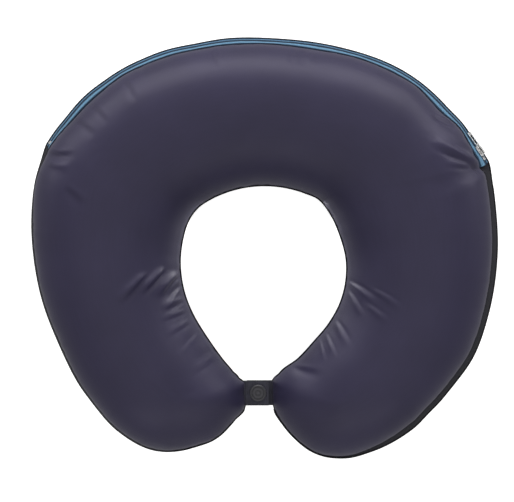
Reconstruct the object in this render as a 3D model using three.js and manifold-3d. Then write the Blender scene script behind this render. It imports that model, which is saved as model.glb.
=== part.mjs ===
// A U-shaped travel neck pillow: a zipped cover around a filled insert, closed
// at the front by two short webbing tabs with a press stud.
// Millimetres, +Z up. The pillow lies on its underside, the back of the neck
// is towards +Y and the two arms meet at -Y.

import * as THREE from 'three';
import { mergeVertices } from 'three/addons/utils/BufferGeometryUtils.js';
import Module from 'manifold-3d';

const wasm = await Module();
wasm.setup();

// ---- Driving dimensions ---------------------------------------------------

const GAP = 0.3;               // clearance between pieces that touch

// The zip runs along a true arc, so that its slider can travel by a hinge.
const ZIP_CENTRE = { x: -2.9, y: -45.3 };
const RIM_RADIUS = 204.8;      // outer rim around the zip's centre
const ZIP_LEFT_DEG = 142.8;
const ZIP_RIGHT_DEG = 32.6;
const ZIP_STEPS = 28;

// The back of the neck opening is an arc as well.
const NECK_CENTRE = { x: 0, y: -39.6 };
const NECK_RADIUS = 86.1;
const NECK_HALF_DEG = 28.3;

// The two ends of the U, and matching points of the outer and inner rims from
// each end up to the zip. Between them both rims are smooth splines.
const LEFT_TIP = [-15.5, -110];
const LEFT_OUTER = [[-25, -133.5], [-55, -151.5], [-84, -153.3], [-112, -138], [-137.5, -108],
  [-156, -72], [-169.5, -35], [-176, 9], [-174.2, 46]];
const LEFT_INNER = [[-22, -96], [-32.5, -83], [-44.5, -66], [-53.5, -51], [-60, -35],
  [-63.3, -16], [-62.5, 1], [-57.5, 19.5], [-50, 30]];
const RIGHT_TIP = [6, -110];
const RIGHT_OUTER = [[16, -136.5], [47, -159.5], [81, -154], [112, -137], [139.5, -108],
  [158, -81], [170.5, -45], [176, -3], [174, 36]];
const RIGHT_INNER = [[11.5, -94.5], [25, -84], [37.5, -70.5], [48, -58], [56.5, -43],
  [61, -27], [61.5, -9], [57, 8.5], [50, 24.5]];
const TIP_STEPS = 18;          // stations from a tip to the zip
const TIP_CROWDING = 1.5;      // above 1, stations are closer together at the tip

const SEAM_Z = 44;             // height of the inner seam
const TOP_HUMP = 41;           // top panel above its edges
const BOTTOM_HUMP = 46;        // underside below its edges, flattened where it rests
const FULL_WIDTH = 105;        // arm width at which the humps are full
const HUMP_INNER_POWER = 2.2;
const HUMP_OUTER_POWER = 1 / 1.8;
const SHELL = 1.2;             // cover fabric with its lining

const BAND_DROP = 1.85;        // lower edge of the rim band below the seam height
const BAND_RISE = 11.25;       // upper edge above it
const BAND_FADE = [2, 4];      // spline points over which the band grows from nothing
const BAND_SHOWN = 0.15;       // share of full height at which the band begins
const TOP_INSET = 0.8;         // top panel's edge inside the underside's
const BAND_LEAN = 4.6;         // the same where the band leans, at the zip and the right arm
const LEFT_LEAN = 1.8;         // and on the left arm
const ARC_SPLINE_POINTS = 8;

const TAPE_EDGE = 0.8;         // half of the slit between the two zip tapes
const TAPE_WIDTH = 5.7;
const TAPE_THICK = 0.8;
const COIL = { from: 0.8, to: 2.6, top: -1.1, bottom: -2.7 };

const SLIDER_DEG = 35.5;
const SLIDER = { length: 9, half: 4, plate: 1.2, web: 0.5, inner: 1 };
const BRIDGE = { half: 3.6, width: 1.6, thick: 0.9, opening: 1.5, chamfer: 1, shoulder: 0.3 };
const PULL = { length: 16.5, width: 4.8, thick: 0.9, rail: 1, bar: 0.9, eye: 4.6, middle: 1.1, slot: 8 };
const PULL_CORNERS = { frame: 0.4, eye: 0.2, slot: 0.6 };
const BOTTOM_STOP_DEG = 141.4;
const TOP_STOP_DEG = 33.7;
const STOP = { length: 2.6, half: 2.8, plate: 0.8, near: 0.2, far: 0.5 };

const WEBBING = { width: 19, thick: 1.6, depth: 4.5, hole: 1.9 };
const TAB_RISE = 2.6;          // left tab above and right tab below the seam height
const SLOT_HEIGHT = 2.3;       // opening in the seam that a tab goes into
const SLOT_FADE = [1.2, 3];
const LEFT_TAB_END = 3.4;
const RIGHT_TAB_END = -13.2;
const SNAP = { x: -4.9, y: -110, cap: 6.25, post: 1.5 };

const LINER_INSET = 6;         // the insert's case inside the cover's seams
const LINER_ZIP_INSET = 10.5;  // the same behind the zip, clear of its slider
const LINER_DROP = 3;
const LINER_THICK = 1;
const FILLING_CLEAR = 2.2;     // the filling inside the case's outer face

const LATHE_SEGMENTS = 28;

// ---- Materials ------------------------------------------------------------

const material = (color, roughness, metalness = 0) =>
  new THREE.MeshStandardMaterial({ color, roughness, metalness });
const FACE_NYLON = 0x3a3749;
const UNDERSIDE = 0x1d1d21;
const BAND_FABRIC = 0x2b2b33;
const ZIP_TAPE = 0x4f7a93;
const ZIP_COIL = 0x1f4257;
const NICKEL = 0xc8c8c6;
const WEBBING_GREY = 0x39383d;
const SNAP_PLASTIC = 0x3c3b40;
const CASE_FABRIC = 0xe6e4de;
const FIBRE = 0xf3f1ea;

// ---- Outline --------------------------------------------------------------

const rad = THREE.MathUtils.degToRad;
const vec = (x, y, z = 0) => new THREE.Vector3(x, y, z);

function arcPoint(centre, radius, degrees) {
  return vec(centre.x + radius * Math.cos(rad(degrees)), centre.y + radius * Math.sin(rad(degrees)));
}

function arcPoints(centre, radius, from, to, steps) {
  const points = [];
  for (let i = 0; i <= steps; i++) {
    points.push(arcPoint(centre, radius, from + (to - from) * i / steps));
  }
  return points;
}

const toVectors = (pairs) => pairs.map(([x, y]) => vec(x, y));
const outerPoints = [
  ...toVectors([LEFT_TIP, ...LEFT_OUTER]),
  ...arcPoints(ZIP_CENTRE, RIM_RADIUS, ZIP_LEFT_DEG, ZIP_RIGHT_DEG, ARC_SPLINE_POINTS),
  ...toVectors([...RIGHT_OUTER].reverse()), ...toVectors([RIGHT_TIP]),
];
const innerPoints = [
  ...toVectors([LEFT_TIP, ...LEFT_INNER]),
  ...arcPoints(NECK_CENTRE, NECK_RADIUS, 90 + NECK_HALF_DEG, 90 - NECK_HALF_DEG, ARC_SPLINE_POINTS),
  ...toVectors([...RIGHT_INNER].reverse()), ...toVectors([RIGHT_TIP]),
];
const LAST = outerPoints.length - 1;           // spline point of the right tip
const ZIP_START = LEFT_OUTER.length + 1;       // spline points of the zip's two ends
const ZIP_END = ZIP_START + ARC_SPLINE_POINTS;

// Each rim's spline starts and ends one point past the tip, on the other rim,
// so the outline is smooth around both tips.
function rimSpline(points, other) {
  const extended = [other[1], ...points, other[LAST - 1]];
  return new THREE.CatmullRomCurve3(extended, false, 'centripetal');
}
const outerSpline = rimSpline(outerPoints, innerPoints);
const innerSpline = rimSpline(innerPoints, outerPoints);

// Point and inward normal of a rim at station u, counted in spline points.
function rim(spline, u, side) {
  const t = (u + 1) / (LAST + 2);
  const tangent = spline.getTangent(t);
  return { point: spline.getPoint(t), normal: vec(side * tangent.y, -side * tangent.x) };
}

function outerRim(u) {
  if (u < ZIP_START || u > ZIP_END) {
    return rim(outerSpline, u, 1);
  }
  const angle = ZIP_LEFT_DEG + (ZIP_RIGHT_DEG - ZIP_LEFT_DEG) * (u - ZIP_START) / ARC_SPLINE_POINTS;
  const point = arcPoint(ZIP_CENTRE, RIM_RADIUS, angle);
  return { point, normal: vec(ZIP_CENTRE.x, ZIP_CENTRE.y).sub(point).normalize() };
}

const innerRim = (u) => rim(innerSpline, u, -1);
const inset = ({ point, normal }, distance) => point.clone().addScaledVector(normal, distance);

// Stations are close together at the tips, where the outline is tightest.
const stations = [];
for (let i = 0; i < TIP_STEPS; i++) {
  stations.push(ZIP_START * (i / TIP_STEPS) ** TIP_CROWDING);
}
for (let i = 0; i <= ZIP_STEPS; i++) {
  stations.push(ZIP_START + ARC_SPLINE_POINTS * i / ZIP_STEPS);
}
for (let i = TIP_STEPS - 1; i >= 0; i--) {
  stations.push(LAST - (LAST - ZIP_END) * (i / TIP_STEPS) ** TIP_CROWDING);
}

// ---- Seam and band heights along the U ------------------------------------

const fade = (value, [from, to]) => THREE.MathUtils.smoothstep(value, from, to);
const fromTip = (u) => Math.min(u, LAST - u);
const isLeft = (u) => u < LAST / 2;

const bandShare = (u) => fade(fromTip(u), BAND_FADE);
const slotShare = (u) => 1 - fade(fromTip(u), SLOT_FADE);
const seamHeight = (u) => SEAM_Z + slotShare(u) * (isLeft(u) ? TAB_RISE : -TAB_RISE);
const seamGap = (u) => GAP + slotShare(u) * (SLOT_HEIGHT - GAP);
const topEdge = (u) => seamHeight(u) + seamGap(u) / 2;
const bottomEdge = (u) => seamHeight(u) - seamGap(u) / 2;
const bandTop = (u) => topEdge(u) + BAND_RISE * bandShare(u);
const bandBottom = (u) => bottomEdge(u) - BAND_DROP * bandShare(u);

function bandLean(u) {
  const towardsZip = fade(u, [ZIP_START - 2, ZIP_START]);
  const lean = isLeft(u) ? LEFT_LEAN + (BAND_LEAN - LEFT_LEAN) * towardsZip : BAND_LEAN;
  return TOP_INSET + (lean - TOP_INSET) * bandShare(u);
}

// ---- Lofted solids --------------------------------------------------------

function signedVolume(position, index) {
  const [a, b, c] = [vec(0, 0), vec(0, 0), vec(0, 0)];
  let volume = 0;
  for (let i = 0; i < index.length; i += 3) {
    a.fromBufferAttribute(position, index[i]);
    b.fromBufferAttribute(position, index[i + 1]);
    c.fromBufferAttribute(position, index[i + 2]);
    volume += a.dot(b.cross(c));
  }
  return volume;
}

// A closed solid through a row of closed rings with equal point counts. Rings
// that shrink to a point need no cap, and other end rings are convex.
function loft(rings) {
  const count = rings[0].length;
  const position = new THREE.Float32BufferAttribute(rings.flat().flatMap((p) => p.toArray()), 3);
  const faces = [];
  for (let r = 0; r < rings.length - 1; r++) {
    for (let i = 0; i < count; i++) {
      const [a, b] = [r * count + i, r * count + (i + 1) % count];
      faces.push(a, b, b + count, a, b + count, a + count);
    }
  }
  const last = (rings.length - 1) * count;
  for (let i = 1; i < count - 1; i++) {
    faces.push(0, i + 1, i, last, last + i, last + i + 1);
  }
  const merged = new THREE.BufferGeometry().setAttribute('position', position).setIndex(faces);
  return outward(mergeVertices(merged, 1e-4));
}

// Drops triangles without area and turns the solid's faces outward.
function outward(geometry) {
  const source = geometry.index.array;
  const kept = [];
  for (let i = 0; i < source.length; i += 3) {
    const [a, b, c] = [source[i], source[i + 1], source[i + 2]];
    if (a !== b && b !== c && c !== a) {
      kept.push(a, b, c);
    }
  }
  if (signedVolume(geometry.attributes.position, kept) < 0) {
    kept.reverse();
  }
  geometry.setIndex(kept);
  geometry.computeVertexNormals();
  return geometry;
}

// The arch of a panel at station u, from the inner rim to the outer one.
// shape: outer(u) and inner(u) insets, the heights of both edges, the hump
// (negative downwards), the arm width where it is full, and the lowest height.
function arch(u, shape, steps) {
  const outer = inset(outerRim(u), shape.outer(u));
  const inner = inset(innerRim(u), shape.inner(u));
  const width = Math.min(1, outer.distanceTo(inner) / shape.fullWidth);
  const hump = shape.hump * Math.sin(Math.PI / 2 * width);
  const points = [];
  for (let i = 0; i <= steps; i++) {
    const s = -Math.cos(Math.PI * i / steps);
    const point = inner.clone().lerp(outer, (s + 1) / 2);
    const base = THREE.MathUtils.lerp(shape.innerZ(u), shape.outerZ(u), (s + 1) / 2);
    const rise = Math.pow(1 - Math.pow(Math.abs(s), HUMP_INNER_POWER), HUMP_OUTER_POWER);
    point.z = Math.max(base + hump * rise, shape.floor);
    points.push(point);
  }
  return points;
}

// The same arch moved inwards by a distance, for the inner face of a shell.
function shrink(shape, distance, drop = distance) {
  return {
    ...shape,
    outer: (u) => shape.outer(u) + distance,
    inner: (u) => shape.inner(u) + distance,
    hump: shape.hump - Math.sign(shape.hump) * drop,
    fullWidth: shape.fullWidth - 2 * distance,
    floor: shape.floor + drop,
  };
}

function shell(shape, thickness, every, steps) {
  const inside = shrink(shape, thickness);
  const used = stations.filter((u, i) => i % every === 0);
  return loft(used.map((u) => [...arch(u, shape, steps), ...arch(u, inside, steps).reverse()]));
}

// ---- Cover ----------------------------------------------------------------

const PANEL_STEPS = 10;
const topShape = {
  outer: bandLean, inner: () => TOP_INSET, outerZ: bandTop, innerZ: topEdge,
  hump: TOP_HUMP, fullWidth: FULL_WIDTH, floor: 0,
};
const bottomShape = {
  outer: () => 0, inner: () => 0, outerZ: bandBottom, innerZ: bottomEdge,
  hump: -BOTTOM_HUMP, fullWidth: FULL_WIDTH, floor: 0,
};

// The strip between the two panels on one arm, from near the tip to the zip.
function sideBand(left) {
  const onArm = (u) => (left ? u <= ZIP_START : u >= ZIP_END);
  const used = stations.filter((u) => onArm(u) && bandShare(u) > BAND_SHOWN);
  return loft(used.map((u) => {
    const low = [GAP, bandBottom(u) + GAP];
    const high = [bandLean(u) - GAP, bandTop(u) - GAP];
    const corners = [low, high, [high[0] + SHELL, high[1]], [low[0] + SHELL, low[1]]];
    return corners.map(([distance, z]) => inset(outerRim(u), distance).setZ(z));
  }));
}

// ---- Insert ---------------------------------------------------------------

const linerInset = (u) => LINER_INSET + (LINER_ZIP_INSET - LINER_INSET) * bandShare(u);
const LINER_EVERY = 2;
const LINER_STEPS = 8;

function insertShape(coverShape, edgeZ) {
  return {
    ...coverShape, outer: linerInset, inner: () => LINER_INSET, outerZ: edgeZ, innerZ: edgeZ,
    hump: coverShape.hump - Math.sign(coverShape.hump) * LINER_DROP,
    fullWidth: FULL_WIDTH - 2 * LINER_INSET, floor: LINER_DROP,
  };
}
const linerTop = insertShape(topShape, (u) => seamHeight(u) + GAP / 2);
const linerBottom = insertShape(bottomShape, (u) => seamHeight(u) - GAP / 2);

function filling() {
  const top = shrink({ ...linerTop, outerZ: seamHeight, innerZ: seamHeight }, FILLING_CLEAR);
  const bottom = shrink({ ...linerBottom, outerZ: seamHeight, innerZ: seamHeight }, FILLING_CLEAR);
  const used = stations.filter((u, i) => i % LINER_EVERY === 0);
  return loft(used.map((u) => {
    const under = arch(u, bottom, LINER_STEPS).slice(1, -1);
    return [...arch(u, top, LINER_STEPS), ...under.reverse()];
  }));
}

// ---- Zip ------------------------------------------------------------------

// Middle of the rim band around the zip, and the way the band leans.
const bandMiddle = { inset: (GAP + BAND_LEAN) / 2, z: SEAM_Z + (BAND_RISE - BAND_DROP) / 2 };
const bandTilt = Math.atan2(BAND_LEAN - GAP, BAND_RISE + BAND_DROP + GAP);

// A place on the zip: its angle, its distance up the band and out of it.
function zipPoint(degrees, up, out) {
  const inward = bandMiddle.inset + up * Math.sin(bandTilt) - out * Math.cos(bandTilt);
  const z = bandMiddle.z + up * Math.cos(bandTilt) + out * Math.sin(bandTilt);
  return arcPoint(ZIP_CENTRE, RIM_RADIUS - inward, degrees).setZ(z);
}

// A strip of constant section along the whole zip, on the upper or lower side.
function zipStrip(side, from, to, top, bottom) {
  const endGap = THREE.MathUtils.radToDeg(GAP / RIM_RADIUS);
  const rings = [];
  for (let i = 0; i <= ZIP_STEPS; i++) {
    const angle = ZIP_LEFT_DEG + (ZIP_RIGHT_DEG - ZIP_LEFT_DEG) * i / ZIP_STEPS;
    const kept = THREE.MathUtils.clamp(angle, ZIP_RIGHT_DEG + endGap, ZIP_LEFT_DEG - endGap);
    const corners = [[from, top], [to, top], [to, bottom], [from, bottom]];
    rings.push(corners.map(([up, out]) => zipPoint(kept, side * up, out)));
  }
  return loft(rings);
}

const zipTape = (side) => zipStrip(side, TAPE_EDGE, TAPE_EDGE + TAPE_WIDTH, 0, -TAPE_THICK);
const zipCoil = (side) => zipStrip(side, COIL.from, COIL.to, COIL.top, COIL.bottom);

// Stands a geometry drawn with x up the band, y out of it and z along it, at an
// angle of the zip. +z is towards the zip's left end.
function onZip(mesh, degrees) {
  const origin = zipPoint(degrees, 0, 0);
  const up = zipPoint(degrees, 1, 0).sub(origin);
  const out = zipPoint(degrees, 0, 1).sub(origin);
  mesh.position.copy(origin);
  mesh.quaternion.setFromRotationMatrix(new THREE.Matrix4().makeBasis(up, out, up.clone().cross(out)));
  return mesh;
}

function outline(points) {
  return new THREE.Shape(points.map(([x, y]) => new THREE.Vector2(x, y)));
}

// A solid of one section, centred along its length.
function bar(shape, length, curveSegments = 12) {
  const geometry = new THREE.ExtrudeGeometry(shape, { depth: length, bevelEnabled: false, curveSegments });
  return geometry.translate(0, 0, -length / 2);
}

function toSolid(geometry) {
  const bare = geometry.clone();
  bare.deleteAttribute('normal');
  bare.deleteAttribute('uv');
  const merged = mergeVertices(bare, 1e-4);
  const vertProperties = new Float32Array(merged.attributes.position.array);
  const triVerts = new Uint32Array(merged.index.array);
  return new wasm.Manifold(new wasm.Mesh({ numProp: 3, vertProperties, triVerts }));
}

function toGeometry(solid) {
  const mesh = solid.getMesh();
  const geometry = new THREE.BufferGeometry();
  geometry.setAttribute('position', new THREE.Float32BufferAttribute(mesh.vertProperties, 3));
  geometry.setIndex([...mesh.triVerts]);
  geometry.computeVertexNormals();
  return geometry;
}

const innerPlateTop = COIL.bottom - GAP;

// The die-cast slider: an outer and an inner plate joined by a web in the slit
// between the tapes, with flanges around the coils and a bridge for the pull.
function sliderBody() {
  const { half, web, plate, inner, length } = SLIDER;
  const { half: span, thick, chamfer, shoulder } = BRIDGE;
  const flange = COIL.to + GAP;
  const right = [
    [web, GAP], [web, innerPlateTop], [flange, innerPlateTop], [flange, COIL.top],
    [half, COIL.top], [half, innerPlateTop - inner],
  ];
  const left = right.map(([x, y]) => [-x, y]).reverse();
  const section = [[-half, GAP], [-half, GAP + plate], [half, GAP + plate], [half, GAP], ...right, ...left];
  const foot = GAP + plate / 2;
  const crown = GAP + plate + BRIDGE.opening;
  const archway = outline([
    [-span, foot], [-span, crown - shoulder], [-span + chamfer, crown + thick],
    [span - chamfer, crown + thick], [span, crown - shoulder], [span, foot],
    [span - thick, foot], [span - thick, crown], [-span + thick, crown], [-span + thick, foot],
  ]);
  const bridge = bar(archway, BRIDGE.width).rotateY(-Math.PI / 2);
  return toGeometry(toSolid(bar(outline(section), length)).add(toSolid(bridge)));
}

// Height of the pull's end bar, which turns inside the bridge.
const pullAxisOut = GAP + SLIDER.plate + BRIDGE.opening / 2;

function roundedRect(path, x0, x1, y0, y1, radius) {
  path.moveTo(x0 + radius, y0);
  path.lineTo(x1 - radius, y0);
  path.absarc(x1 - radius, y0 + radius, radius, -Math.PI / 2, 0, false);
  path.lineTo(x1, y1 - radius);
  path.absarc(x1 - radius, y1 - radius, radius, 0, Math.PI / 2, false);
  path.lineTo(x0 + radius, y1);
  path.absarc(x0 + radius, y1 - radius, radius, Math.PI / 2, Math.PI, false);
  path.lineTo(x0, y0 + radius);
  path.absarc(x0 + radius, y0 + radius, radius, Math.PI, Math.PI * 1.5, false);
  return path;
}

// The pull tab is a flat frame: an eye around the bridge and a longer slot.
function sliderPull() {
  const { length, width, thick, rail, bar: endBar, eye, middle, slot } = PULL;
  const side = width / 2;
  const opening = side - rail;
  const slotStart = eye + middle;
  const corners = PULL_CORNERS;
  const frame = roundedRect(new THREE.Shape(), -side, side, -endBar / 2, length, corners.frame);
  frame.holes.push(
    roundedRect(new THREE.Path(), -opening, opening, endBar / 2, eye, corners.eye),
    roundedRect(new THREE.Path(), -opening, opening, slotStart, slotStart + slot, corners.slot),
  );
  return bar(frame, thick, 3).rotateX(Math.PI / 2);
}

// A clamp around both coils, for the end of the zip where its halves stay joined.
function bottomStop() {
  const { half, plate, length } = STOP;
  const { web } = SLIDER;
  const right = [
    [half, GAP], [web, GAP], [web, innerPlateTop], [half, innerPlateTop], [half, innerPlateTop - plate],
  ];
  const left = right.map(([x, y]) => [-x, y]).reverse();
  return bar(outline([[-half, GAP + plate], [half, GAP + plate], ...right, ...left]), length);
}

// A clamp around one coil, for the end that opens.
function topStop(side) {
  const { half, plate, length, near, far } = STOP;
  const points = [
    [near, GAP + plate], [half, GAP + plate], [half, GAP], [far, GAP], [far, innerPlateTop],
    [half, innerPlateTop], [half, innerPlateTop - plate], [near, innerPlateTop - plate],
  ];
  return bar(outline(points.map(([x, y]) => [side * x, y])), length);
}

// ---- Tabs and press stud --------------------------------------------------

const leftTabZ = SEAM_Z + TAB_RISE;
const rightTabZ = SEAM_Z - TAB_RISE;

// A flat webbing tab with the hole that the press stud's post goes through.
function tab(from, to, z) {
  const [low, high] = [SNAP.y - WEBBING.width / 2, SNAP.y + WEBBING.width / 2];
  const shape = outline([[from, low], [to, low], [to, high], [from, high]]);
  shape.holes.push(new THREE.Path().absarc(SNAP.x, SNAP.y, WEBBING.hole, 0, Math.PI * 2, true));
  return bar(shape, WEBBING.thick, 10).translate(0, 0, z);
}

function turned(profile, z) {
  const points = profile.map(([r, y]) => new THREE.Vector2(r, y));
  const mesh = new THREE.LatheGeometry(points, LATHE_SEGMENTS).rotateX(Math.PI / 2);
  const closed = mergeVertices(mesh.deleteAttribute('normal').deleteAttribute('uv'), 1e-4);
  return outward(closed).translate(SNAP.x, SNAP.y, z);
}

// The press stud's profiles are radius and height from the webbing's middle.
const face = WEBBING.thick / 2;

// A domed cap with a ring around its face, on a post through the webbing.
function snapCap() {
  const profile = [
    [0, -face], [SNAP.post, -face], [SNAP.post, face + GAP], [SNAP.cap, face + GAP],
    [SNAP.cap, face + 0.9], [SNAP.cap - 0.7, face + 1.6], [SNAP.cap - 1.7, face + 1.6],
    [SNAP.cap - 2, face + 1.35], [0, face + 1.5],
  ];
  return turned(profile, leftTabZ);
}

// The plain cap below the right tab is the same turned over, without the ring.
function studCap() {
  const profile = [
    [0, -face - 1.6], [SNAP.cap - 0.8, -face - 1.6], [SNAP.cap, -face - 0.9],
    [SNAP.cap, -face - GAP], [SNAP.post, -face - GAP], [SNAP.post, face], [0, face],
  ];
  return turned(profile, rightTabZ);
}

// The socket is a cup that opens downwards over the stud's head.
function snapSocket() {
  const top = -face - GAP;
  const profile = [
    [0, top], [5.4, top], [5.4, top - 0.7], [4.6, top - 1], [4.6, top - 2.2],
    [3.2, top - 2.2], [3.2, top - 0.5], [0, top - 0.5],
  ];
  return turned(profile, leftTabZ);
}

function snapStud() {
  const base = face + GAP;
  const profile = [
    [0, base], [5, base], [5, base + 0.6], [2.1, base + 0.7], [2.1, base + 1.1],
    [2.4, base + 1.6], [2.2, base + 2.1], [1.4, base + 2.4], [0, base + 2.4],
  ];
  return turned(profile, rightTabZ);
}

// ---- Assembly -------------------------------------------------------------

const pillow = new THREE.Group();

function add(name, geometry, surface, parent = pillow) {
  const mesh = new THREE.Mesh(geometry, surface);
  mesh.name = name;
  parent.add(mesh);
  return mesh;
}

const cover = new THREE.Group();
const insert = new THREE.Group();
const zip = new THREE.Group();
const closure = new THREE.Group();
pillow.add(cover, insert, zip, closure);

add('top_panel', shell(topShape, SHELL, 1, PANEL_STEPS), material(FACE_NYLON, 0.55), cover);
add('bottom_panel', shell(bottomShape, SHELL, 1, PANEL_STEPS), material(UNDERSIDE, 0.95), cover);
add('side_band_left', sideBand(true), material(BAND_FABRIC, 0.9), cover);
add('side_band_right', sideBand(false), material(BAND_FABRIC, 0.9), cover);

for (const [place, shape] of [['top', linerTop], ['bottom', linerBottom]]) {
  const half = shell(shape, LINER_THICK, LINER_EVERY, LINER_STEPS);
  add(`inner_liner_${place}`, half, material(CASE_FABRIC, 0.9), insert);
}
add('filling', filling(), material(FIBRE, 1), insert);

for (const [place, side] of [['upper', 1], ['lower', -1]]) {
  add(`zip_tape_${place}`, zipTape(side), material(ZIP_TAPE, 0.8), zip);
  add(`zip_coil_${place}`, zipCoil(side), material(ZIP_COIL, 0.5), zip);
  onZip(add(`zip_top_stop_${place}`, topStop(side), material(NICKEL, 0.3, 1), zip), TOP_STOP_DEG);
}
onZip(add('zip_bottom_stop', bottomStop(), material(NICKEL, 0.3, 1), zip), BOTTOM_STOP_DEG);
const slider = onZip(new THREE.Group(), SLIDER_DEG);
zip.add(slider);
add('slider_body', sliderBody(), material(NICKEL, 0.3, 1), slider);
add('slider_pull', sliderPull(), material(NICKEL, 0.3, 1), slider).position.y = pullAxisOut;

const leftTab = tab(LEFT_TIP[0] - WEBBING.depth, LEFT_TAB_END, leftTabZ);
const rightTab = tab(RIGHT_TAB_END, RIGHT_TIP[0] + WEBBING.depth, rightTabZ);
add('strap_left', leftTab, material(WEBBING_GREY, 0.9), closure);
add('strap_right', rightTab, material(WEBBING_GREY, 0.9), closure);
add('snap_cap', snapCap(), material(SNAP_PLASTIC, 0.5), closure);
add('snap_socket', snapSocket(), material(SNAP_PLASTIC, 0.5), closure);
add('snap_stud', snapStud(), material(SNAP_PLASTIC, 0.5), closure);
add('snap_stud_cap', studCap(), material(SNAP_PLASTIC, 0.5), closure);

export default pillow;
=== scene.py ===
"""A U-shaped travel neck pillow seen from above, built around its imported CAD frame.

Metres throughout, in the CAD frame: +Z up, the back of the neck towards +Y.
"""

import math

import bmesh
import bpy
import numpy as np
from mathutils import Matrix, Vector, kdtree, noise


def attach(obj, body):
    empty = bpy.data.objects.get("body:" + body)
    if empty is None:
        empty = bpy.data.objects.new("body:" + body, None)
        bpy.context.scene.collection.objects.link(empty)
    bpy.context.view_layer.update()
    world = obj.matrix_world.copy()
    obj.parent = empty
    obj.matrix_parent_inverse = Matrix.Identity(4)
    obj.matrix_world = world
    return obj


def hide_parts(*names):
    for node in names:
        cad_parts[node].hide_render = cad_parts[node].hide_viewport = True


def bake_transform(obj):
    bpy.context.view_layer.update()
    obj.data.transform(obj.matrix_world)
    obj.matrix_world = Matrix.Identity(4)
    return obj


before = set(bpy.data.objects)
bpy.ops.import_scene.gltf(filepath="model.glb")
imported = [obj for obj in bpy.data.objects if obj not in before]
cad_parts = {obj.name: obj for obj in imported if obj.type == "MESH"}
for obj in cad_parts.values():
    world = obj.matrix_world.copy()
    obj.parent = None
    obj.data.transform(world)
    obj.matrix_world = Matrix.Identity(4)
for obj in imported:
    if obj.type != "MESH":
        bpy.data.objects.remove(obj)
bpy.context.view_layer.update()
MM = 0.001

# ---- Outline of the pillow ----
# The CAD's rims in mm, except that each tip is 0.6 mm nearer to the other one.
# The waves are bumps of a rim or of the face's edge: spline point of the middle,
# half length in spline points and height in mm.

ZIP_CENTRE = np.array([-2.9, -45.3]) * MM
RIM_RADIUS = 204.8 * MM
ZIP_LEFT = math.radians(142.8)
ZIP_RIGHT = math.radians(32.6)
NECK_CENTRE = np.array([0, -39.6]) * MM
NECK_RADIUS = 86.1 * MM
NECK_HALF = math.radians(28.3)
LEFT_TIP = [-14.9, -110]
LEFT_OUTER = [[-25, -133.5], [-55, -151.5], [-84, -153.3], [-112, -138], [-137.5, -108],
              [-156, -72], [-169.5, -35], [-176, 9], [-174.2, 46]]
LEFT_INNER = [[-22, -96], [-32.5, -83], [-44.5, -66], [-53.5, -51], [-60, -35],
              [-63.3, -16], [-62.5, 1], [-57.5, 19.5], [-50, 30]]
RIGHT_TIP = [5.4, -110]
RIGHT_OUTER = [[16, -136.5], [47, -159.5], [81, -154], [112, -137], [139.5, -108],
               [158, -81], [170.5, -45], [176, -3], [174, 36]]
RIGHT_INNER = [[11.5, -94.5], [25, -84], [37.5, -70.5], [48, -58], [56.5, -43],
               [61, -27], [61.5, -9], [57, 8.5], [50, 24.5]]
ARC_POINTS = 8
RIM_WAVES = [(0.45, 0.45, 2.8), (1.5, 0.5, 1.2), (4.6, 0.6, -0.5), (9.7, 0.7, -2.1), (10.9, 0.5, 0.9),
             (11.6, 1.5, 3.4), (12.4, 0.5, 0.6), (14.1, 1.0, -1.5), (16.2, 1.5, 3.9), (17.3, 0.35, 0.9),
             (18.4, 0.6, -1.2), (22.0, 0.8, 0.5), (23.6, 0.4, -0.6), (25.9, 0.6, -1.4), (27.5, 0.45, 1.0)]
NECK_WAVES = [(0.45, 0.45, 2.6), (0.9, 0.3, 1.0), (27.45, 0.45, 2.0)]
LEAN_WAVES = [(9.25, 1.1, -2.3), (10.9, 0.9, 2.0), (12.2, 0.9, 1.0), (13.4, 0.9, 0.9), (14.7, 0.9, 1.3),
              (15.9, 0.8, 0.9), (16.85, 0.5, 2.3), (17.85, 0.45, 2.6), (18.08, 0.25, 3.6)]

SEAM_Z = 44 * MM
TOP_HUMP = 41 * MM
BOTTOM_HUMP = 46 * MM
CROWN_RADIUS = 54 * MM         # distance from the rim at which the humps are full
BAND_DROP = 1.85 * MM
BAND_RISE = 11.25 * MM
BAND_FADE = (2, 4)             # spline points over which the band grows from nothing
BAND_START = 0.45              # spline point beside a tab, where the strip between the panels begins
TOP_INSET = 0.8 * MM           # face's edge inside the underside's
BAND_LEAN = 4.6 * MM           # the same where the band leans, at the zip and the right arm
LEFT_LEAN = 1.9 * MM           # and on the left arm, 1.8 mm in the CAD
TAB_RISE = 2.6 * MM
SLOT_HEIGHT = 1.9 * MM         # of the opening that a tab comes out of, 2.3 mm in the CAD
SLOT_FADE = (1.2, 3)
TAPE_INNER = 0.7 * MM          # half of the slit between the zip's tapes
TAPE_OUTER = 6.6 * MM
ZIP_SLANT = 0.11               # spline points by which the zip is longer at the face, at each end


def smoothstep(x, low, high):
    t = np.clip((np.asarray(x, float) - low) / (high - low), 0, 1)
    return t * t * (3 - 2 * t)


def unit(rows):
    return rows / np.linalg.norm(rows, axis=1)[:, None]


def on_circle(centre, radius, angles):
    return centre + radius * np.stack([np.cos(angles), np.sin(angles)], axis=-1)


def joined(left_tip, left, middle, right, right_tip):
    right_part = np.array([*right[::-1], right_tip]) * MM
    return np.concatenate([np.array([left_tip, *left]) * MM, middle, right_part])


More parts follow.
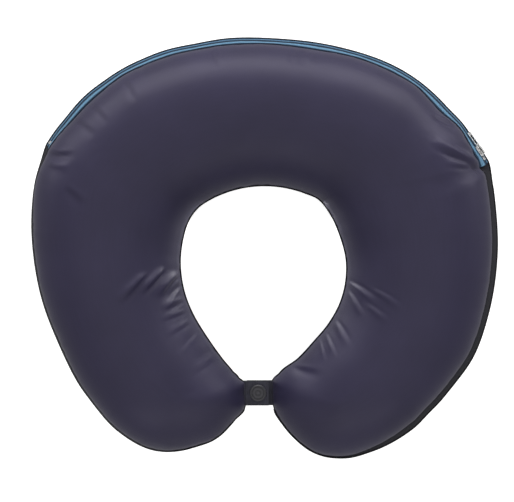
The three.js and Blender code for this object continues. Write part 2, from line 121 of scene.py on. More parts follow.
zip_angles = np.linspace(ZIP_LEFT, ZIP_RIGHT, ARC_POINTS + 1)
neck_angles = math.pi / 2 + np.linspace(NECK_HALF, -NECK_HALF, ARC_POINTS + 1)
zip_arc = on_circle(ZIP_CENTRE, RIM_RADIUS, zip_angles)
neck_arc = on_circle(NECK_CENTRE, NECK_RADIUS, neck_angles)
outer_points = joined(LEFT_TIP, LEFT_OUTER, zip_arc, RIGHT_OUTER, RIGHT_TIP)
inner_points = joined(LEFT_TIP, LEFT_INNER, neck_arc, RIGHT_INNER, RIGHT_TIP)
LAST = len(outer_points) - 1
ZIP_START = len(LEFT_OUTER) + 1
ZIP_END = ZIP_START + ARC_POINTS


def spline(points, before, after, u):
    """Centripetal Catmull-Rom through the points, with one more on each side, at point numbers u."""
    control = np.concatenate([[before], points, [after]])
    u = np.atleast_1d(np.asarray(u, float))
    i = np.clip(np.floor(u).astype(int), 0, len(points) - 2)
    p = [control[i + k] for k in range(4)]
    gap = [np.sqrt(np.linalg.norm(p[k + 1] - p[k], axis=1))[:, None] for k in range(3)]
    t = [np.zeros_like(gap[0]), gap[0], gap[0] + gap[1], gap[0] + gap[1] + gap[2]]
    x = t[1] + (u - i)[:, None] * gap[1]
    a = [p[k] + (p[k + 1] - p[k]) * (x - t[k]) / (t[k + 1] - t[k]) for k in range(3)]
    b = [a[k] + (a[k + 1] - a[k]) * (x - t[k]) / (t[k + 2] - t[k]) for k in range(2)]
    return b[0] + (b[1] - b[0]) * (x - t[1]) / (t[2] - t[1])


def waves(u, bumps):
    u = np.asarray(u, float)
    return sum(height * MM * np.cos(math.pi / 2 * np.clip((u - at) / reach, -1, 1)) ** 2
               for at, reach, height in bumps)


def arc_rim(u):
    """The outer rim, a true arc at the zip."""
    u = np.atleast_1d(np.asarray(u, float))
    free = spline(outer_points, inner_points[1], inner_points[-2], u)
    angle = ZIP_LEFT + (ZIP_RIGHT - ZIP_LEFT) * (u - ZIP_START) / ARC_POINTS
    on_zip = (u >= ZIP_START) & (u <= ZIP_END)
    return np.where(on_zip[:, None], on_circle(ZIP_CENTRE, RIM_RADIUS, angle), free)


def outer_rim(u):
    """The sewn rim, which strays a little from the zip's true arc."""
    return arc_rim(u) - inward(arc_rim, u, 1) * np.reshape(waves(u, RIM_WAVES), (-1, 1))


def neck_rim(u):
    return spline(inner_points, outer_points[1], outer_points[-2], u)


def inner_rim(u):
    return neck_rim(u) - inward(neck_rim, u, -1) * np.reshape(waves(u, NECK_WAVES), (-1, 1))


def inward(rim, u, side):
    """Unit vectors from a rim into the arm. The step spans the kinks at the zip's ends."""
    step, u = 0.03, np.asarray(u)
    tangent = unit(rim(np.clip(u + step, 0, LAST)) - rim(np.clip(u - step, 0, LAST)))
    return side * np.stack([tangent[:, 1], -tangent[:, 0]], axis=-1)


def outer_inset(u, distance):
    return outer_rim(u) + inward(outer_rim, u, 1) * np.reshape(distance, (-1, 1))


def inner_inset(u, distance):
    return inner_rim(u) + inward(inner_rim, u, -1) * np.reshape(distance, (-1, 1))


# ---- Heights of the seams ----

def from_tip(u):
    return np.minimum(u, LAST - np.asarray(u, float))


def band_share(u):
    return smoothstep(from_tip(u), *BAND_FADE)


def slot_share(u):
    return 1 - smoothstep(from_tip(u), *SLOT_FADE)


def seam_height(u):
    return SEAM_Z + slot_share(u) * np.where(np.asarray(u) < LAST / 2, TAB_RISE, -TAB_RISE)


def top_edge(u):
    return seam_height(u) + slot_share(u) * SLOT_HEIGHT / 2


def bottom_edge(u):
    return seam_height(u) - slot_share(u) * SLOT_HEIGHT / 2


def band_top(u):
    return top_edge(u) + BAND_RISE * band_share(u)


def band_bottom(u):
    return bottom_edge(u) - BAND_DROP * band_share(u)


def band_lean(u):
    towards_zip = smoothstep(u, ZIP_START - 2, ZIP_START)
    left = LEFT_LEAN + (BAND_LEAN - LEFT_LEAN) * towards_zip
    lean = np.where(np.asarray(u) < LAST / 2, left, BAND_LEAN)
    return TOP_INSET + (lean - TOP_INSET) * band_share(u) + waves(u, LEAN_WAVES)


def always(distance):
    return lambda u: distance


# ---- Grid of a panel ----
# Rows run along the U and columns across it. At each tip the columns bend
# until the last one lies along the outline, so no cell shrinks to nothing.

CORNER_U = 0.85                # where the end column meets the rims, in spline points
BEND_REACH = 42 * MM           # how far from the tip the columns are bent
RIM_SHARES = (0.62, 0.38)      # of the outer and the inner rim in the length along the U
TIP_ROUNDING = (10 * MM, 48 * MM)   # lengths between which the rounding of the dome at a tip fades
ROUNDING_PASSES, ROUNDING_SHARE = 14, 0.7


def crown(x):
    """Height share at a distance from the rim, as a share of the crown radius."""
    return (1 - (1 - np.clip(x, 0, 1)) ** 2.2) ** (1 / 1.8)


def even_steps(half_width, hump, cell):
    """Distances from the rim to the crest in plan, evenly spaced along the curved surface."""
    x = np.linspace(0, 1, 2000) ** 2 * half_width
    z = crown(x / CROWN_RADIUS) * hump
    length = np.concatenate([[0], np.cumsum(np.hypot(np.diff(x), np.diff(z)))])
    count = max(2, round(length[-1] / cell))
    return np.interp(np.linspace(0, length[-1], count + 1), length, x)


def running_length(points):
    return np.concatenate([[0], np.cumsum(np.linalg.norm(np.diff(points, axis=0), axis=1))])


def strip_uv(along, across):
    """Both directions of the cloth in metres, for a grid of columns by rows."""
    return np.stack(np.meshgrid(along, across, indexing="ij"), axis=-1).reshape(-1, 2)


class Layout:
    """Where the columns and rows of a grid with cells of one size go."""

    def __init__(self, cell):
        self.cell = cell
        us = np.linspace(CORNER_U, LAST - CORNER_U, 3000)
        outer, inner = RIM_SHARES
        length = outer * running_length(outer_rim(us)) + inner * running_length(inner_rim(us))
        near = even_steps(CROWN_RADIUS, TOP_HUMP, cell)
        count = round((length[-1] - 2 * near[-1]) / cell) + 1
        middle = np.linspace(near[-1], length[-1] - near[-1], count)
        self.places = np.concatenate([near[:-1], middle, length[-1] - near[::-1][1:]])
        self.length = length[-1]
        self.us = np.interp(self.places, length, us)
        steps = near / CROWN_RADIUS / 2
        self.rows = np.concatenate([steps, 1 - steps[::-1][1:]])

    def from_ends(self):
        return np.minimum(self.places, self.length - self.places)


def tip_curve(rows, left, outer_distance, inner_distance):
    """Points of the outline around a tip, from the inner rim's corner to the outer one's."""
    us = np.linspace(CORNER_U, 0, 60) if left else np.linspace(LAST - CORNER_U, LAST, 60)
    inner = inner_inset(us, inner_distance(us))
    outer = outer_inset(us[::-1], outer_distance(us[::-1]))
    path = np.concatenate([inner, outer[1:]])
    length = running_length(path)
    at = np.interp(rows * length[-1], length, np.arange(len(path)))
    low = np.floor(at).astype(int).clip(0, len(path) - 2)
    return path[low] + (path[low + 1] - path[low]) * (at - low)[:, None]


class Panel:
    """A domed panel of cloth between the rims: its vertices as columns by rows."""

    def __init__(self, layout, outer, inner, outer_z, inner_z, hump, radius=CROWN_RADIUS, floor=0):
        us, rows = layout.us, layout.rows
        self.layout = layout
        outside = outer_inset(us, outer(us))
        inside = inner_inset(us, inner(us))
        plan = inside[:, None] + (outside - inside)[:, None] * rows[None, :, None]
        for left in (True, False):
            bend = tip_curve(rows, left, outer, inner) - plan[0 if left else -1]
            reach = layout.places if left else layout.length - layout.places
            plan = plan + (1 - smoothstep(reach, 0, BEND_REACH))[:, None, None] * bend[None]
        base = inner_z(us)[:, None] + (outer_z(us) - inner_z(us))[:, None] * rows[None]
        border = np.concatenate([plan[:, 0], plan[-1], plan[::-1, -1], plan[0, ::-1]])
        self.distance = np.stack([
            np.linalg.norm(column[:, None] - border[None], axis=-1).min(1) for column in plan
        ])
        z = base + hump * crown(self.distance / radius)
        near_tip = 1 - smoothstep(layout.from_ends(), *TIP_ROUNDING)
        for _ in range(ROUNDING_PASSES):
            mean = (z[:-2, 1:-1] + z[2:, 1:-1] + z[1:-1, :-2] + z[1:-1, 2:]) / 4
            z[1:-1, 1:-1] += ROUNDING_SHARE * near_tip[1:-1, None] * (mean - z[1:-1, 1:-1])
        z = np.maximum(z, floor)
        self.points = np.concatenate([plan, z[..., None]], axis=-1)

    def border_indices(self):
        columns, rows = self.distance.shape
        index = np.arange(columns * rows).reshape(columns, rows)
        return np.concatenate([index[:, 0], index[-1, 1:], index[-2::-1, -1], index[0, -2:0:-1]])

    def uv(self):
        return strip_uv(self.layout.places, np.arange(self.distance.shape[1]) * self.layout.cell)


# ---- Mesh helpers ----

def set_all(target, **values):
    for key, value in values.items():
        setattr(target, key, value)
    return target


def in_scene(name, data):
    obj = bpy.data.objects.new(name, data)
    bpy.context.scene.collection.objects.link(obj)
    return obj


def mesh_object(name, vertices, faces, uv=None, smooth=True):
    mesh = bpy.data.meshes.new(name)
    mesh.from_pydata([tuple(v) for v in vertices], [], [tuple(f) for f in faces])
    if uv is not None:
        corners = np.empty(len(mesh.loops), np.int32)
        mesh.loops.foreach_get("vertex_index", corners)
        mesh.uv_layers.new(name="metres").data.foreach_set("uv", np.asarray(uv, np.float32)[corners].ravel())
    mesh.polygons.foreach_set("use_smooth", [smooth] * len(mesh.polygons))
    mesh.update()
    return in_scene(name, mesh)


def grid_faces(columns, rows, flip=False, ring=False):
    """Quads of a grid of columns by rows. With ring, the last row joins the first."""
    faces = []
    for i in range(columns - 1):
        for j in range(rows if ring else rows - 1):
            a, b = i * rows + j, i * rows + (j + 1) % rows
            face = [a, a + rows, b + rows, b]
            faces.append(face[::-1] if flip else face)
    return faces


def closed_tube(rings, sides, flip=False):
    """Faces of a tube of several rings, with both ends closed."""
    last = (rings - 1) * sides
    return grid_faces(rings, sides, flip, ring=True) + [
        list(range(sides)), list(range(last, last + sides))[::-1]]


def round_about(count):
    return np.linspace(0, 2 * math.pi, count, endpoint=False)


def applied(obj, kind, **settings):
    """Applies a modifier of a kind to the object."""
    set_all(obj.modifiers.new(kind.lower(), kind), **settings)
    bpy.context.view_layer.update()
    graph = bpy.context.evaluated_depsgraph_get()
    mesh = bpy.data.meshes.new_from_object(obj.evaluated_get(graph))
    obj.modifiers.clear()
    obj.data = mesh
    return obj


def vectors(collection, attribute):
    flat = np.empty(len(collection) * 3, np.float32)
    collection.foreach_get(attribute, flat)
    return flat.reshape(-1, 3).astype(float)


def points_and_normals(obj):
    return vectors(obj.data.vertices, "co"), vectors(obj.data.vertex_normals, "vector")


def move_vertices(obj, points):
    obj.data.vertices.foreach_set("co", np.asarray(points, np.float32).ravel())
    obj.data.update()


def joined_meshes(name, parts):
    """One object from a list of (vertices, faces)."""
    vertices, faces, start = [], [], 0
    for points, quads in parts:
        vertices.extend(points)
        faces.extend([[start + k for k in quad] for quad in quads])
        start += len(points)
    return mesh_object(name, vertices, faces)


def smooth_by_angle(obj, degrees):
    """Smooth shading that keeps edges sharper than an angle."""
    mesh = bmesh.new()
    mesh.from_mesh(obj.data)
    bmesh.ops.recalc_face_normals(mesh, faces=mesh.faces)
    for edge in mesh.edges:
        edge.smooth = len(edge.link_faces) == 2 and edge.calc_face_angle() < math.radians(degrees)
    for polygon in mesh.faces:
        polygon.smooth = True
    mesh.to_mesh(obj.data)
    mesh.free()
    return obj


def welded(obj, distance):
    mesh = bmesh.new()
    mesh.from_mesh(obj.data)
    bmesh.ops.remove_doubles(mesh, verts=mesh.verts, dist=distance)
    mesh.to_mesh(obj.data)
    mesh.free()
    return obj


# ---- Cloth ----

def inflated(obj, pinned, loose, slack, frames):
    """Vertices of a panel after air pressure has filled it out between its sewn edges.
    loose says, vertex by vertex, how much of the spare length it has."""
    pins = obj.vertex_groups.new(name="pinned")
    pins.add([int(i) for i in pinned], 1, "REPLACE")
    spare = obj.vertex_groups.new(name="spare")
    for i, share in enumerate(loose):
        spare.add([i], float(share), "REPLACE")
    cloth = obj.modifiers.new("cloth", "CLOTH")
    set_all(cloth.settings, quality=5, mass=0.2, tension_stiffness=18, compression_stiffness=18,
            shear_stiffness=6, bending_stiffness=0.06, air_damping=1.5, vertex_group_mass="pinned",
            vertex_group_shrink="spare", shrink_min=0, shrink_max=-slack, use_pressure=True,
            uniform_pressure_force=4)
    cloth.settings.effector_weights.gravity = 0
    set_all(cloth.collision_settings, use_collision=False, use_self_collision=False)
    set_all(cloth.point_cache, frame_start=1, frame_end=frames)
    for frame_number in range(1, frames + 1):
        bpy.context.scene.frame_set(frame_number)
    graph = bpy.context.evaluated_depsgraph_get()
    points = vectors(obj.evaluated_get(graph).data.vertices, "co")
    obj.modifiers.clear()
    bpy.context.scene.frame_set(1)
    return points


def capped(base, moved, limit):
    """The move from base, eased off so that no vertex goes further than its limit."""
    step = moved - base
    size = np.linalg.norm(step, axis=1) + 1e-9
    allowed = limit * np.tanh(size / np.maximum(limit, 1e-9))
    return base + step * (allowed / size)[:, None]


def fold_height(points, path, width, height):
    """A ridge along a path of three plan points, steeper on its left, fading in and out along it."""
    a, b, c = [np.array(p, float) * MM for p in path]
    t = np.linspace(0, 1, 28)[:, None]
    curve = (1 - t) ** 2 * a + 2 * t * (1 - t) * b + t ** 2 * c
    tangent = unit(np.gradient(curve, axis=0))
    raised = np.zeros(len(points))
    reach = 7.5 * width * MM
    near = np.flatnonzero(np.linalg.norm(points[:, None, :2] - curve[None, ::9], axis=-1).min(1) < reach)
    offset = points[near, None, :2] - curve[None]
    closest = np.linalg.norm(offset, axis=-1).argmin(1)
    gap = offset[np.arange(len(near)), closest]
    along = tangent[closest]
    side = along[:, 0] * gap[:, 1] - along[:, 1] * gap[:, 0]
    beyond = (along * gap).sum(1)
    share = t[closest, 0]
    spread = width * MM * (0.6 + 0.6 * share)
    ridge = np.exp(-(side / spread) ** 2) - 0.75 * np.exp(-((side - 0.9 * spread) / (0.55 * spread)) ** 2)
    ends = smoothstep(share, -0.02, 0.3) * (1 - smoothstep(share, 0.55, 1.02))
    raised[near] = height * MM * ridge * ends * np.exp(-(beyond / spread) ** 2)
    return raised


def ripple(s, wavelengths, rng):
    """An uneven wave along a length, between about -1 and 1. Wavelengths are in mm."""
    total = np.zeros_like(s)
    for wavelength in np.array(wavelengths) * MM:
        phase, beat = rng.uniform(0, 2 * math.pi, 2)
        swell = 0.6 + 0.4 * np.sin(2 * math.pi * s / (wavelength * 7.3) + beat)
        total += swell * np.sin(2 * math.pi * s / wavelength + phase)
    return total / len(wavelengths)


def distance_from(border, points):
    """The nearest point of a border, as its number, and the distance to it."""
    tree = kdtree.KDTree(len(border))
    for i, point in enumerate(border):
        tree.insert(Vector(point), i)
    tree.balance()
    found = [tree.find(Vector(point)) for point in points]
    return np.array([f[1] for f in found]), np.array([f[2] for f in found])


def seam_puckers(obj, border, height, reach, wavelengths, seed):
    """Small ripples of the cloth beside its sewn edge. Height, reach and wavelengths are in mm."""
    points, normals = points_and_normals(obj)
    nearest, distance = distance_from(border, points)
    s, d = running_length(border)[nearest], distance / (reach * MM)
    lift = height * MM * ripple(s, wavelengths, np.random.default_rng(seed)) * d * np.exp(1 - d)
    move_vertices(obj, points + normals * lift[:, None])


def finished_sheet(obj, thickness):
    """Gives a sheet its thickness, on the side away from its normals."""
    return applied(obj, "SOLIDIFY", thickness=thickness, offset=-1)


# ---- Materials ----

WHITE = (1, 1, 1)


class Shading:
    """A node material with one principled shader."""

    def __init__(self, name, **sockets):
        self.material = bpy.data.materials.new(name)
        self.material.use_nodes = True
        self.tree = self.material.node_tree
        self.shader = self.tree.nodes["Principled BSDF"]
        for key, value in sockets.items():
            self.shader.inputs[key.replace("_", " ")].default_value = value

    def node(self, kind, *inputs, **settings):
        """A new node with its inputs linked or set in order; None leaves an input alone."""
        node = self.tree.nodes.new(kind)
        for key, value in settings.items():
            setattr(node, key, value)
        for socket, value in zip(node.inputs, inputs):
            if isinstance(value, bpy.types.NodeSocket):
                self.tree.links.new(value, socket)
            elif value is not None:
                socket.default_value = value
        return node

    def math(self, operation, *inputs):
        return self.node("ShaderNodeMath", *inputs, operation=operation).outputs[0]

    def position(self):
        return self.node("ShaderNodeTexCoord").outputs["Object"]

    def metres(self):
        """The two directions of the cloth, in metres."""
        uv = self.node("ShaderNodeUVMap", uv_map="metres").outputs[0]
        split = self.node("ShaderNodeSeparateXYZ", uv)
        return split.outputs[0], split.outputs[1]

    def noise(self, scale, detail=3.0, roughness=0.5, vector=None):
        node = self.node("ShaderNodeTexNoise")
        self.tree.links.new(vector or self.position(), node.inputs["Vector"])
        node.inputs["Scale"].default_value = scale
        node.inputs["Detail"].default_value = detail
        node.inputs["Roughness"].default_value = roughness
        return node.outputs["Fac"]

    def wave(self, coordinate, period):
        """A sine from 0 to 1 along a coordinate in metres."""
        turns = self.math("MULTIPLY", coordinate, 2 * math.pi / period)
        return self.math("MULTIPLY_ADD", self.math("SINE", turns), 0.5, 0.5)

    def mixed(self, first, first_share, second, second_share):
        rest = self.math("MULTIPLY", second, second_share)
        return self.math("MULTIPLY_ADD", first, first_share, rest)

    def weave(self, period):
        """Height of a plain weave: warp and weft pass over each other by turns."""
        along, across = self.metres()
        warp = self.wave(along, period)
        weft = self.wave(across, period)
        return self.math("ADD", self.math("MULTIPLY", warp, weft), self.math("MULTIPLY", warp, 0.35))

    def ramp(self, value, stops):
        node = self.node("ShaderNodeValToRGB", value)
        elements = node.color_ramp.elements
        for i, (place, colour) in enumerate(stops):
            element = elements[i] if i < 2 else elements.new(place)
            element.position = place
            element.color = (*colour, 1)
        return node.outputs[0]

    def dyed(self, value, base, *shares):
        """One colour made darker and lighter: places of the value and shares of the colour."""
        stops = [(place, tuple(share * channel for channel in base)) for place, share in shares]
        return self.ramp(value, stops)

    def multiplied(self, first, second):
        blend = self.node("ShaderNodeMix", data_type="RGBA", blend_type="MULTIPLY")
        blend.inputs[0].default_value = 1
        self.tree.links.new(first, blend.inputs[6])
        self.tree.links.new(second, blend.inputs[7])
        return blend.outputs[2]

    def colour(self, socket):
        self.tree.links.new(socket, self.shader.inputs["Base Color"])

    def roughness(self, value, low, high):
        spread = self.node("ShaderNodeMapRange", value, 0, 1, low, high)
        self.tree.links.new(spread.outputs[0], self.shader.inputs["Roughness"])

    def bump(self, height, distance, strength=1.0):
        """Adds a bump to the ones already on the shader."""
        node = self.tree.nodes.new("ShaderNodeBump")
        node.inputs["Strength"].default_value = strength
        node.inputs["Distance"].default_value = distance
        self.tree.links.new(height, node.inputs["Height"])
        normal = self.shader.inputs["Normal"]
        if normal.is_linked:
            self.tree.links.new(normal.links[0].from_socket, node.inputs["Normal"])
        self.tree.links.new(node.outputs[0], normal)


def satin_nylon():
    """Smooth dark nylon with a close plain weave and a soft sheen."""
    base = (0.0258, 0.0226, 0.0525)
    cloth = Shading("satin_nylon", Specular_IOR_Level=0.36, Sheen_Weight=0.03, Sheen_Roughness=0.35)
    cloth.shader.inputs["Specular Tint"].default_value = (0.92, 0.88, 1, 1)
    cloth.shader.inputs["Sheen Tint"].default_value = (0.72, 0.68, 0.86, 1)
    tone = cloth.mixed(cloth.noise(26, 4), 0.7, cloth.noise(7, 2), 0.3)
    along, across = cloth.metres()
    drawn_out = cloth.node("ShaderNodeCombineXYZ", cloth.math("MULTIPLY", along, 0.04), across)
    slub = cloth.noise(900, 1, vector=drawn_out.outputs[0])
    tone = cloth.mixed(slub, 0.25, tone, 0.75)
    cloth.colour(cloth.dyed(tone, base, (0.25, 0.82), (0.75, 1.2)))
    cloth.roughness(cloth.noise(60, 3), 0.40, 0.50)
    cloth.bump(cloth.weave(0.42 * MM), 0.05 * MM, 0.35)
    cloth.bump(cloth.noise(210, 3), 0.10 * MM, 0.25)
    return cloth.material


def brushed_knit():
    """Soft black brushed fabric of the underside."""
    base = (0.0065, 0.0065, 0.0080)
    cloth = Shading("brushed_knit", Specular_IOR_Level=0.12, Sheen_Weight=0.06, Sheen_Roughness=0.6)
    pile = cloth.noise(1400, 4, 0.7)
    patches = cloth.noise(45, 4)
    tone = cloth.mixed(pile, 0.5, patches, 0.5)
    cloth.colour(cloth.dyed(tone, base, (0.3, 0.6), (0.7, 1.9)))
    cloth.roughness(patches, 0.86, 0.98)
    cloth.bump(pile, 0.25 * MM, 0.6)
    cloth.bump(cloth.noise(120, 3), 0.3 * MM, 0.3)
    return cloth.material


def ribbed_band():
    """Black band with fine ribs along it."""
    base = (0.0105, 0.0100, 0.0155)
    cloth = Shading("ribbed_band", Specular_IOR_Level=0.15, Sheen_Weight=0.04, Sheen_Roughness=0.5)
    along, across = cloth.metres()
    ribs = cloth.wave(across, 1.15 * MM)
    threads = cloth.wave(along, 0.5 * MM)
    height = cloth.math("MULTIPLY_ADD", threads, 0.3, ribs)
    tone = cloth.mixed(cloth.noise(180, 3), 0.5, height, 0.35)
    cloth.colour(cloth.dyed(tone, base, (0.2, 0.55), (0.8, 1.6)))
    cloth.roughness(cloth.noise(90, 2), 0.72, 0.88)
    cloth.bump(height, 0.22 * MM, 0.8)
    return cloth.material


def zip_tape_weave():
    """Blue polyester tape: lengthwise cords and a herringbone of fine threads."""
    base = (0.108, 0.235, 0.360)
    cloth = Shading("zip_tape_weave", Specular_IOR_Level=0.25, Sheen_Weight=0.04, Sheen_Roughness=0.4)
    cloth.shader.inputs["Sheen Tint"].default_value = (0.7, 0.88, 1, 1)
    along, across = cloth.metres()
    zigzag = cloth.math("PINGPONG", across, 0.75 * MM)
    twill = cloth.wave(cloth.math("ADD", along, zigzag), 0.55 * MM)
    cords = cloth.wave(across, 1.5 * MM)
    height = cloth.math("MULTIPLY_ADD", twill, 0.6, cords)
    tone = cloth.mixed(cloth.noise(160, 3), 0.45, height, 0.35)
    light = cloth.dyed(tone, base, (0.15, 0.75), (0.85, 1.25))
    # Painted shade: dark lines along the slit and along both outer edges of the tapes, where shadow falls,
    # and the lower tape painted darker as if turned away from the light.
    dark, lower_tape_shade = (0.015, 0.07, 0.12), (0.72, 0.75, 0.78)
    place = cloth.math("MULTIPLY_ADD", across, 0.5 / TAPE_OUTER, 0.5)
    painted_shade_stripes = cloth.ramp(place, [(0.13, dark), (0.20, lower_tape_shade), (0.32, lower_tape_shade), (0.38, dark),
                                 (0.65, dark), (0.71, WHITE), (0.86, WHITE), (0.92, dark)])
    cloth.colour(cloth.multiplied(light, painted_shade_stripes))
    cloth.roughness(cloth.noise(140, 2), 0.5, 0.66)
    cloth.bump(height, 0.14 * MM, 0.7)
    return cloth.material


def nylon_coil():
    """Dark blue coil of the zip: turns one after another along the arc."""
    base = (0.010, 0.038, 0.070)
    coil = Shading("nylon_coil", Specular_IOR_Level=0.5)
    split = coil.node("ShaderNodeSeparateXYZ", coil.position())
    x = coil.math("SUBTRACT", split.outputs[0], float(ZIP_CENTRE[0]))
    y = coil.math("SUBTRACT", split.outputs[1], float(ZIP_CENTRE[1]))
    along = coil.math("MULTIPLY", coil.math("ARCTAN2", y, x), RIM_RADIUS)
    turns = coil.wave(along, 1.3 * MM)
    coil.colour(coil.dyed(turns, base, (0.15, 0.35), (0.7, 1.3)))
    coil.roughness(coil.noise(300, 2), 0.35, 0.5)
    coil.bump(turns, 0.5 * MM)
    return coil.material


def nickel():
    """Plated die casting, a little worn and brushed."""
    metal = Shading("nickel_plate", Metallic=1.0)
    wear = metal.noise(420, 5, 0.65)
    worn, plain, bright = (0.52, 0.52, 0.51), (0.83, 0.83, 0.82), (0.95, 0.95, 0.94)
    metal.colour(metal.ramp(wear, [(0.3, worn), (0.5, plain), (0.8, bright)]))
    metal.roughness(metal.noise(900, 3), 0.16, 0.32)
    metal.bump(metal.noise(1500, 2), 0.03 * MM, 0.4)
    return metal.material


def webbing_weave():
    """Charcoal webbing: ribs across it and the threads that bind them."""
    base = (0.0290, 0.0285, 0.0430)
    cloth = Shading("webbing_weave", Specular_IOR_Level=0.4, Sheen_Weight=0.2, Sheen_Roughness=0.45)
    along, across = cloth.metres()
    binding = cloth.wave(across, 0.8 * MM)
    ribs = cloth.wave(along, 0.65 * MM)
    height = cloth.math("MULTIPLY_ADD", binding, 0.5, ribs)
    tone = cloth.mixed(cloth.noise(220, 3), 0.5, height, 0.3)
    plain = cloth.dyed(tone, base, (0.2, 0.6), (0.8, 1.8))
    # Painted shade: both rolled edges of the webbing are painted darker, as if in shadow.
    from_middle = cloth.math("ABSOLUTE", across)
    outward = cloth.math("MULTIPLY", from_middle, 50)
    painted_edge_shade = cloth.dyed(outward, WHITE, (0.425, 1), (0.455, 0.2))
    cloth.colour(cloth.multiplied(plain, painted_edge_shade))
    cloth.roughness(cloth.noise(150, 2), 0.62, 0.8)
    cloth.bump(height, 0.15 * MM, 0.7)
    return cloth.material


def moulded_plastic():
    """Charcoal moulded plastic with a fine spark-eroded grain."""
    base = (0.037, 0.036, 0.043)
    plastic = Shading("moulded_plastic", Specular_IOR_Level=0.5)
    patches = plastic.noise(260, 3)
    plastic.colour(plastic.dyed(patches, base, (0.3, 0.85), (0.7, 1.18)))
    plastic.roughness(plastic.noise(700, 3), 0.34, 0.50)
    plastic.bump(plastic.noise(2600, 2), 0.03 * MM, 0.5)
    return plastic.material


def case_cotton():
    """Off-white woven case of the insert."""
    base = (0.76, 0.745, 0.69)
    cloth = Shading("case_cotton", Specular_IOR_Level=0.25, Sheen_Weight=0.15)
    tone = cloth.mixed(cloth.noise(70, 4), 0.6, cloth.weave(0.7 * MM), 0.3)
    cloth.colour(cloth.dyed(tone, base, (0.2, 0.86), (0.8, 1.05)))
    cloth.roughness(cloth.noise(80, 2), 0.82, 0.94)
    cloth.bump(cloth.weave(0.7 * MM), 0.12 * MM, 0.6)
    return cloth.material


def loose_fibre():
    """White polyester fibre in soft tufts."""
    base = (0.84, 0.835, 0.80)
    fibre = Shading("loose_fibre", Specular_IOR_Level=0.2, Sheen_Weight=0.3)
    tufts = fibre.noise(95, 6, 0.65)
    fibre.colour(fibre.dyed(tufts, base, (0.3, 0.8), (0.7, 1.04)))
    fibre.roughness(tufts, 0.9, 1.0)
    fibre.bump(fibre.noise(700, 5, 0.7), 0.8 * MM, 0.8)
    return fibre.material


def sewing_thread(name, base):
    """Twisted polyester thread."""
    thread = Shading(name, Specular_IOR_Level=0.4, Sheen_Weight=0.2)
    twist = thread.noise(2400, 3)
    thread.colour(thread.dyed(twist, base, (0.3, 0.65), (0.7, 1.4)))
    thread.roughness(thread.noise(900, 2), 0.55, 0.7)
    thread.bump(twist, 0.08 * MM, 0.6)
    return thread.material


MATERIALS = {
    "face_nylon": satin_nylon(),
    "underside": brushed_knit(),
    "band_fabric": ribbed_band(),
    "case_fabric": case_cotton(),
    "fibre": loose_fibre(),
    "zip_tape": zip_tape_weave(),
    "zip_coil": nylon_coil(),
    "nickel": nickel(),
    "webbing": webbing_weave(),
    "snap_plastic": moulded_plastic(),
}
THREADS = {
    "navy": sewing_thread("navy_thread", (0.016, 0.014, 0.028)),
    "blue": sewing_thread("blue_thread", (0.035, 0.10, 0.165)),
    "black": sewing_thread("black_thread", (0.011, 0.011, 0.013)),
}


def placed(obj, body, slot, *nodes, material=None):
    """Puts a piece on its body with the finish of its slot, in place of the CAD nodes it stands for."""
    obj.data.materials.clear()
    obj.data.materials.append(material or MATERIALS[slot])
    if body:
        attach(obj, body)
    if nodes:
        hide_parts(*nodes)
    return obj


# ---- Cover ----

FABRIC = 0.6 * MM
FACE_SLACK = 0.035             # spare length of the cloth where it is loosest
FACE_CAP, UNDER_CAP = 7 * MM, 5 * MM    # how far the cloth may move from the dome
FACE_FRAMES, UNDER_FRAMES = 26, 14      # of cloth simulation

# Folds of the face: three points in plan, width and height, all in mm.
FOLDS = [
    ([(-64, -18), (-73, -25), (-82, -38)], 4.2, 2.3),
    ([(-75, -15), (-84, -24), (-94, -35)], 3.4, 2.4),
    ([(-88, -18), (-97, -28), (-111, -42)], 3.8, 2.2),
    ([(-62, -27), (-69, -33), (-76, -44)], 3.0, -1.1),
    ([(-60, -38), (-68, -41), (-78, -46)], 3.2, 0.9),
    ([(-58, -47), (-67, -50), (-79, -54)], 2.6, 0.45),
    ([(-55, -54), (-64, -60), (-76, -66)], 3.2, 0.4),
    ([(-49, -62), (-58, -69), (-66, -80)], 3.4, -0.25),
    ([(-36, -80), (-46, -88), (-56, -92)], 4.0, 0.25),
    ([(61, -25), (72, -31), (85, -43)], 3.0, 1.1),
    ([(62, -31), (67, -40), (74, -53)], 2.8, 0.85),
    ([(80, -31), (91, -36), (103, -47)], 2.8, 0.8),
    ([(76, -42), (83, -48), (93, -56)], 2.8, 0.7),
    ([(52, -54), (57, -62), (63, -76)], 3.4, 0.9),
    ([(45, -63), (49, -71), (53, -84)], 2.4, 0.6),
    ([(41, -67), (43, -76), (45, -86)], 1.8, 0.4),
    ([(20, -90), (31, -94), (45, -95)], 4.0, -0.7),
    ([(163, 61), (147, 69), (122, 81)], 4.4, 2.7),
    ([(125, 99), (134, 95), (146, 88)], 2.6, -1.7),
    ([(161, 70), (152, 77), (141, 82)], 3.0, 0.8),
    ([(162, 54), (158, 60), (150, 62)], 2.4, -1.4),
    ([(165, 60), (150, 62), (132, 63)], 3.0, 1.1),
    ([(-164, 71), (-153, 68), (-140, 69)], 3.2, -1.7),
    ([(-163, 64), (-154, 62), (-144, 60)], 3.0, 1.4),
    ([(-144, 97), (-134, 90), (-126, 82)], 3.4, -1.0),
    ([(-132, 109), (-123, 100), (-116, 91)], 3.0, -0.9),
    ([(-106, 127), (-100, 118), (-96, 108)], 3.0, -1.2),
    ([(-38, 150), (-38, 142), (-36, 131)], 2.4, -1.0),
    ([(20, 151), (20, 143), (21, 134)], 2.0, -0.9),
    ([(27, 150), (27, 142), (28, 133)], 2.0, -0.9),
    ([(34, 149), (34, 141), (34, 134)], 1.8, 0.8),
    ([(-150, 44), (-141, 38), (-134, 28)], 5.0, -0.9),
]

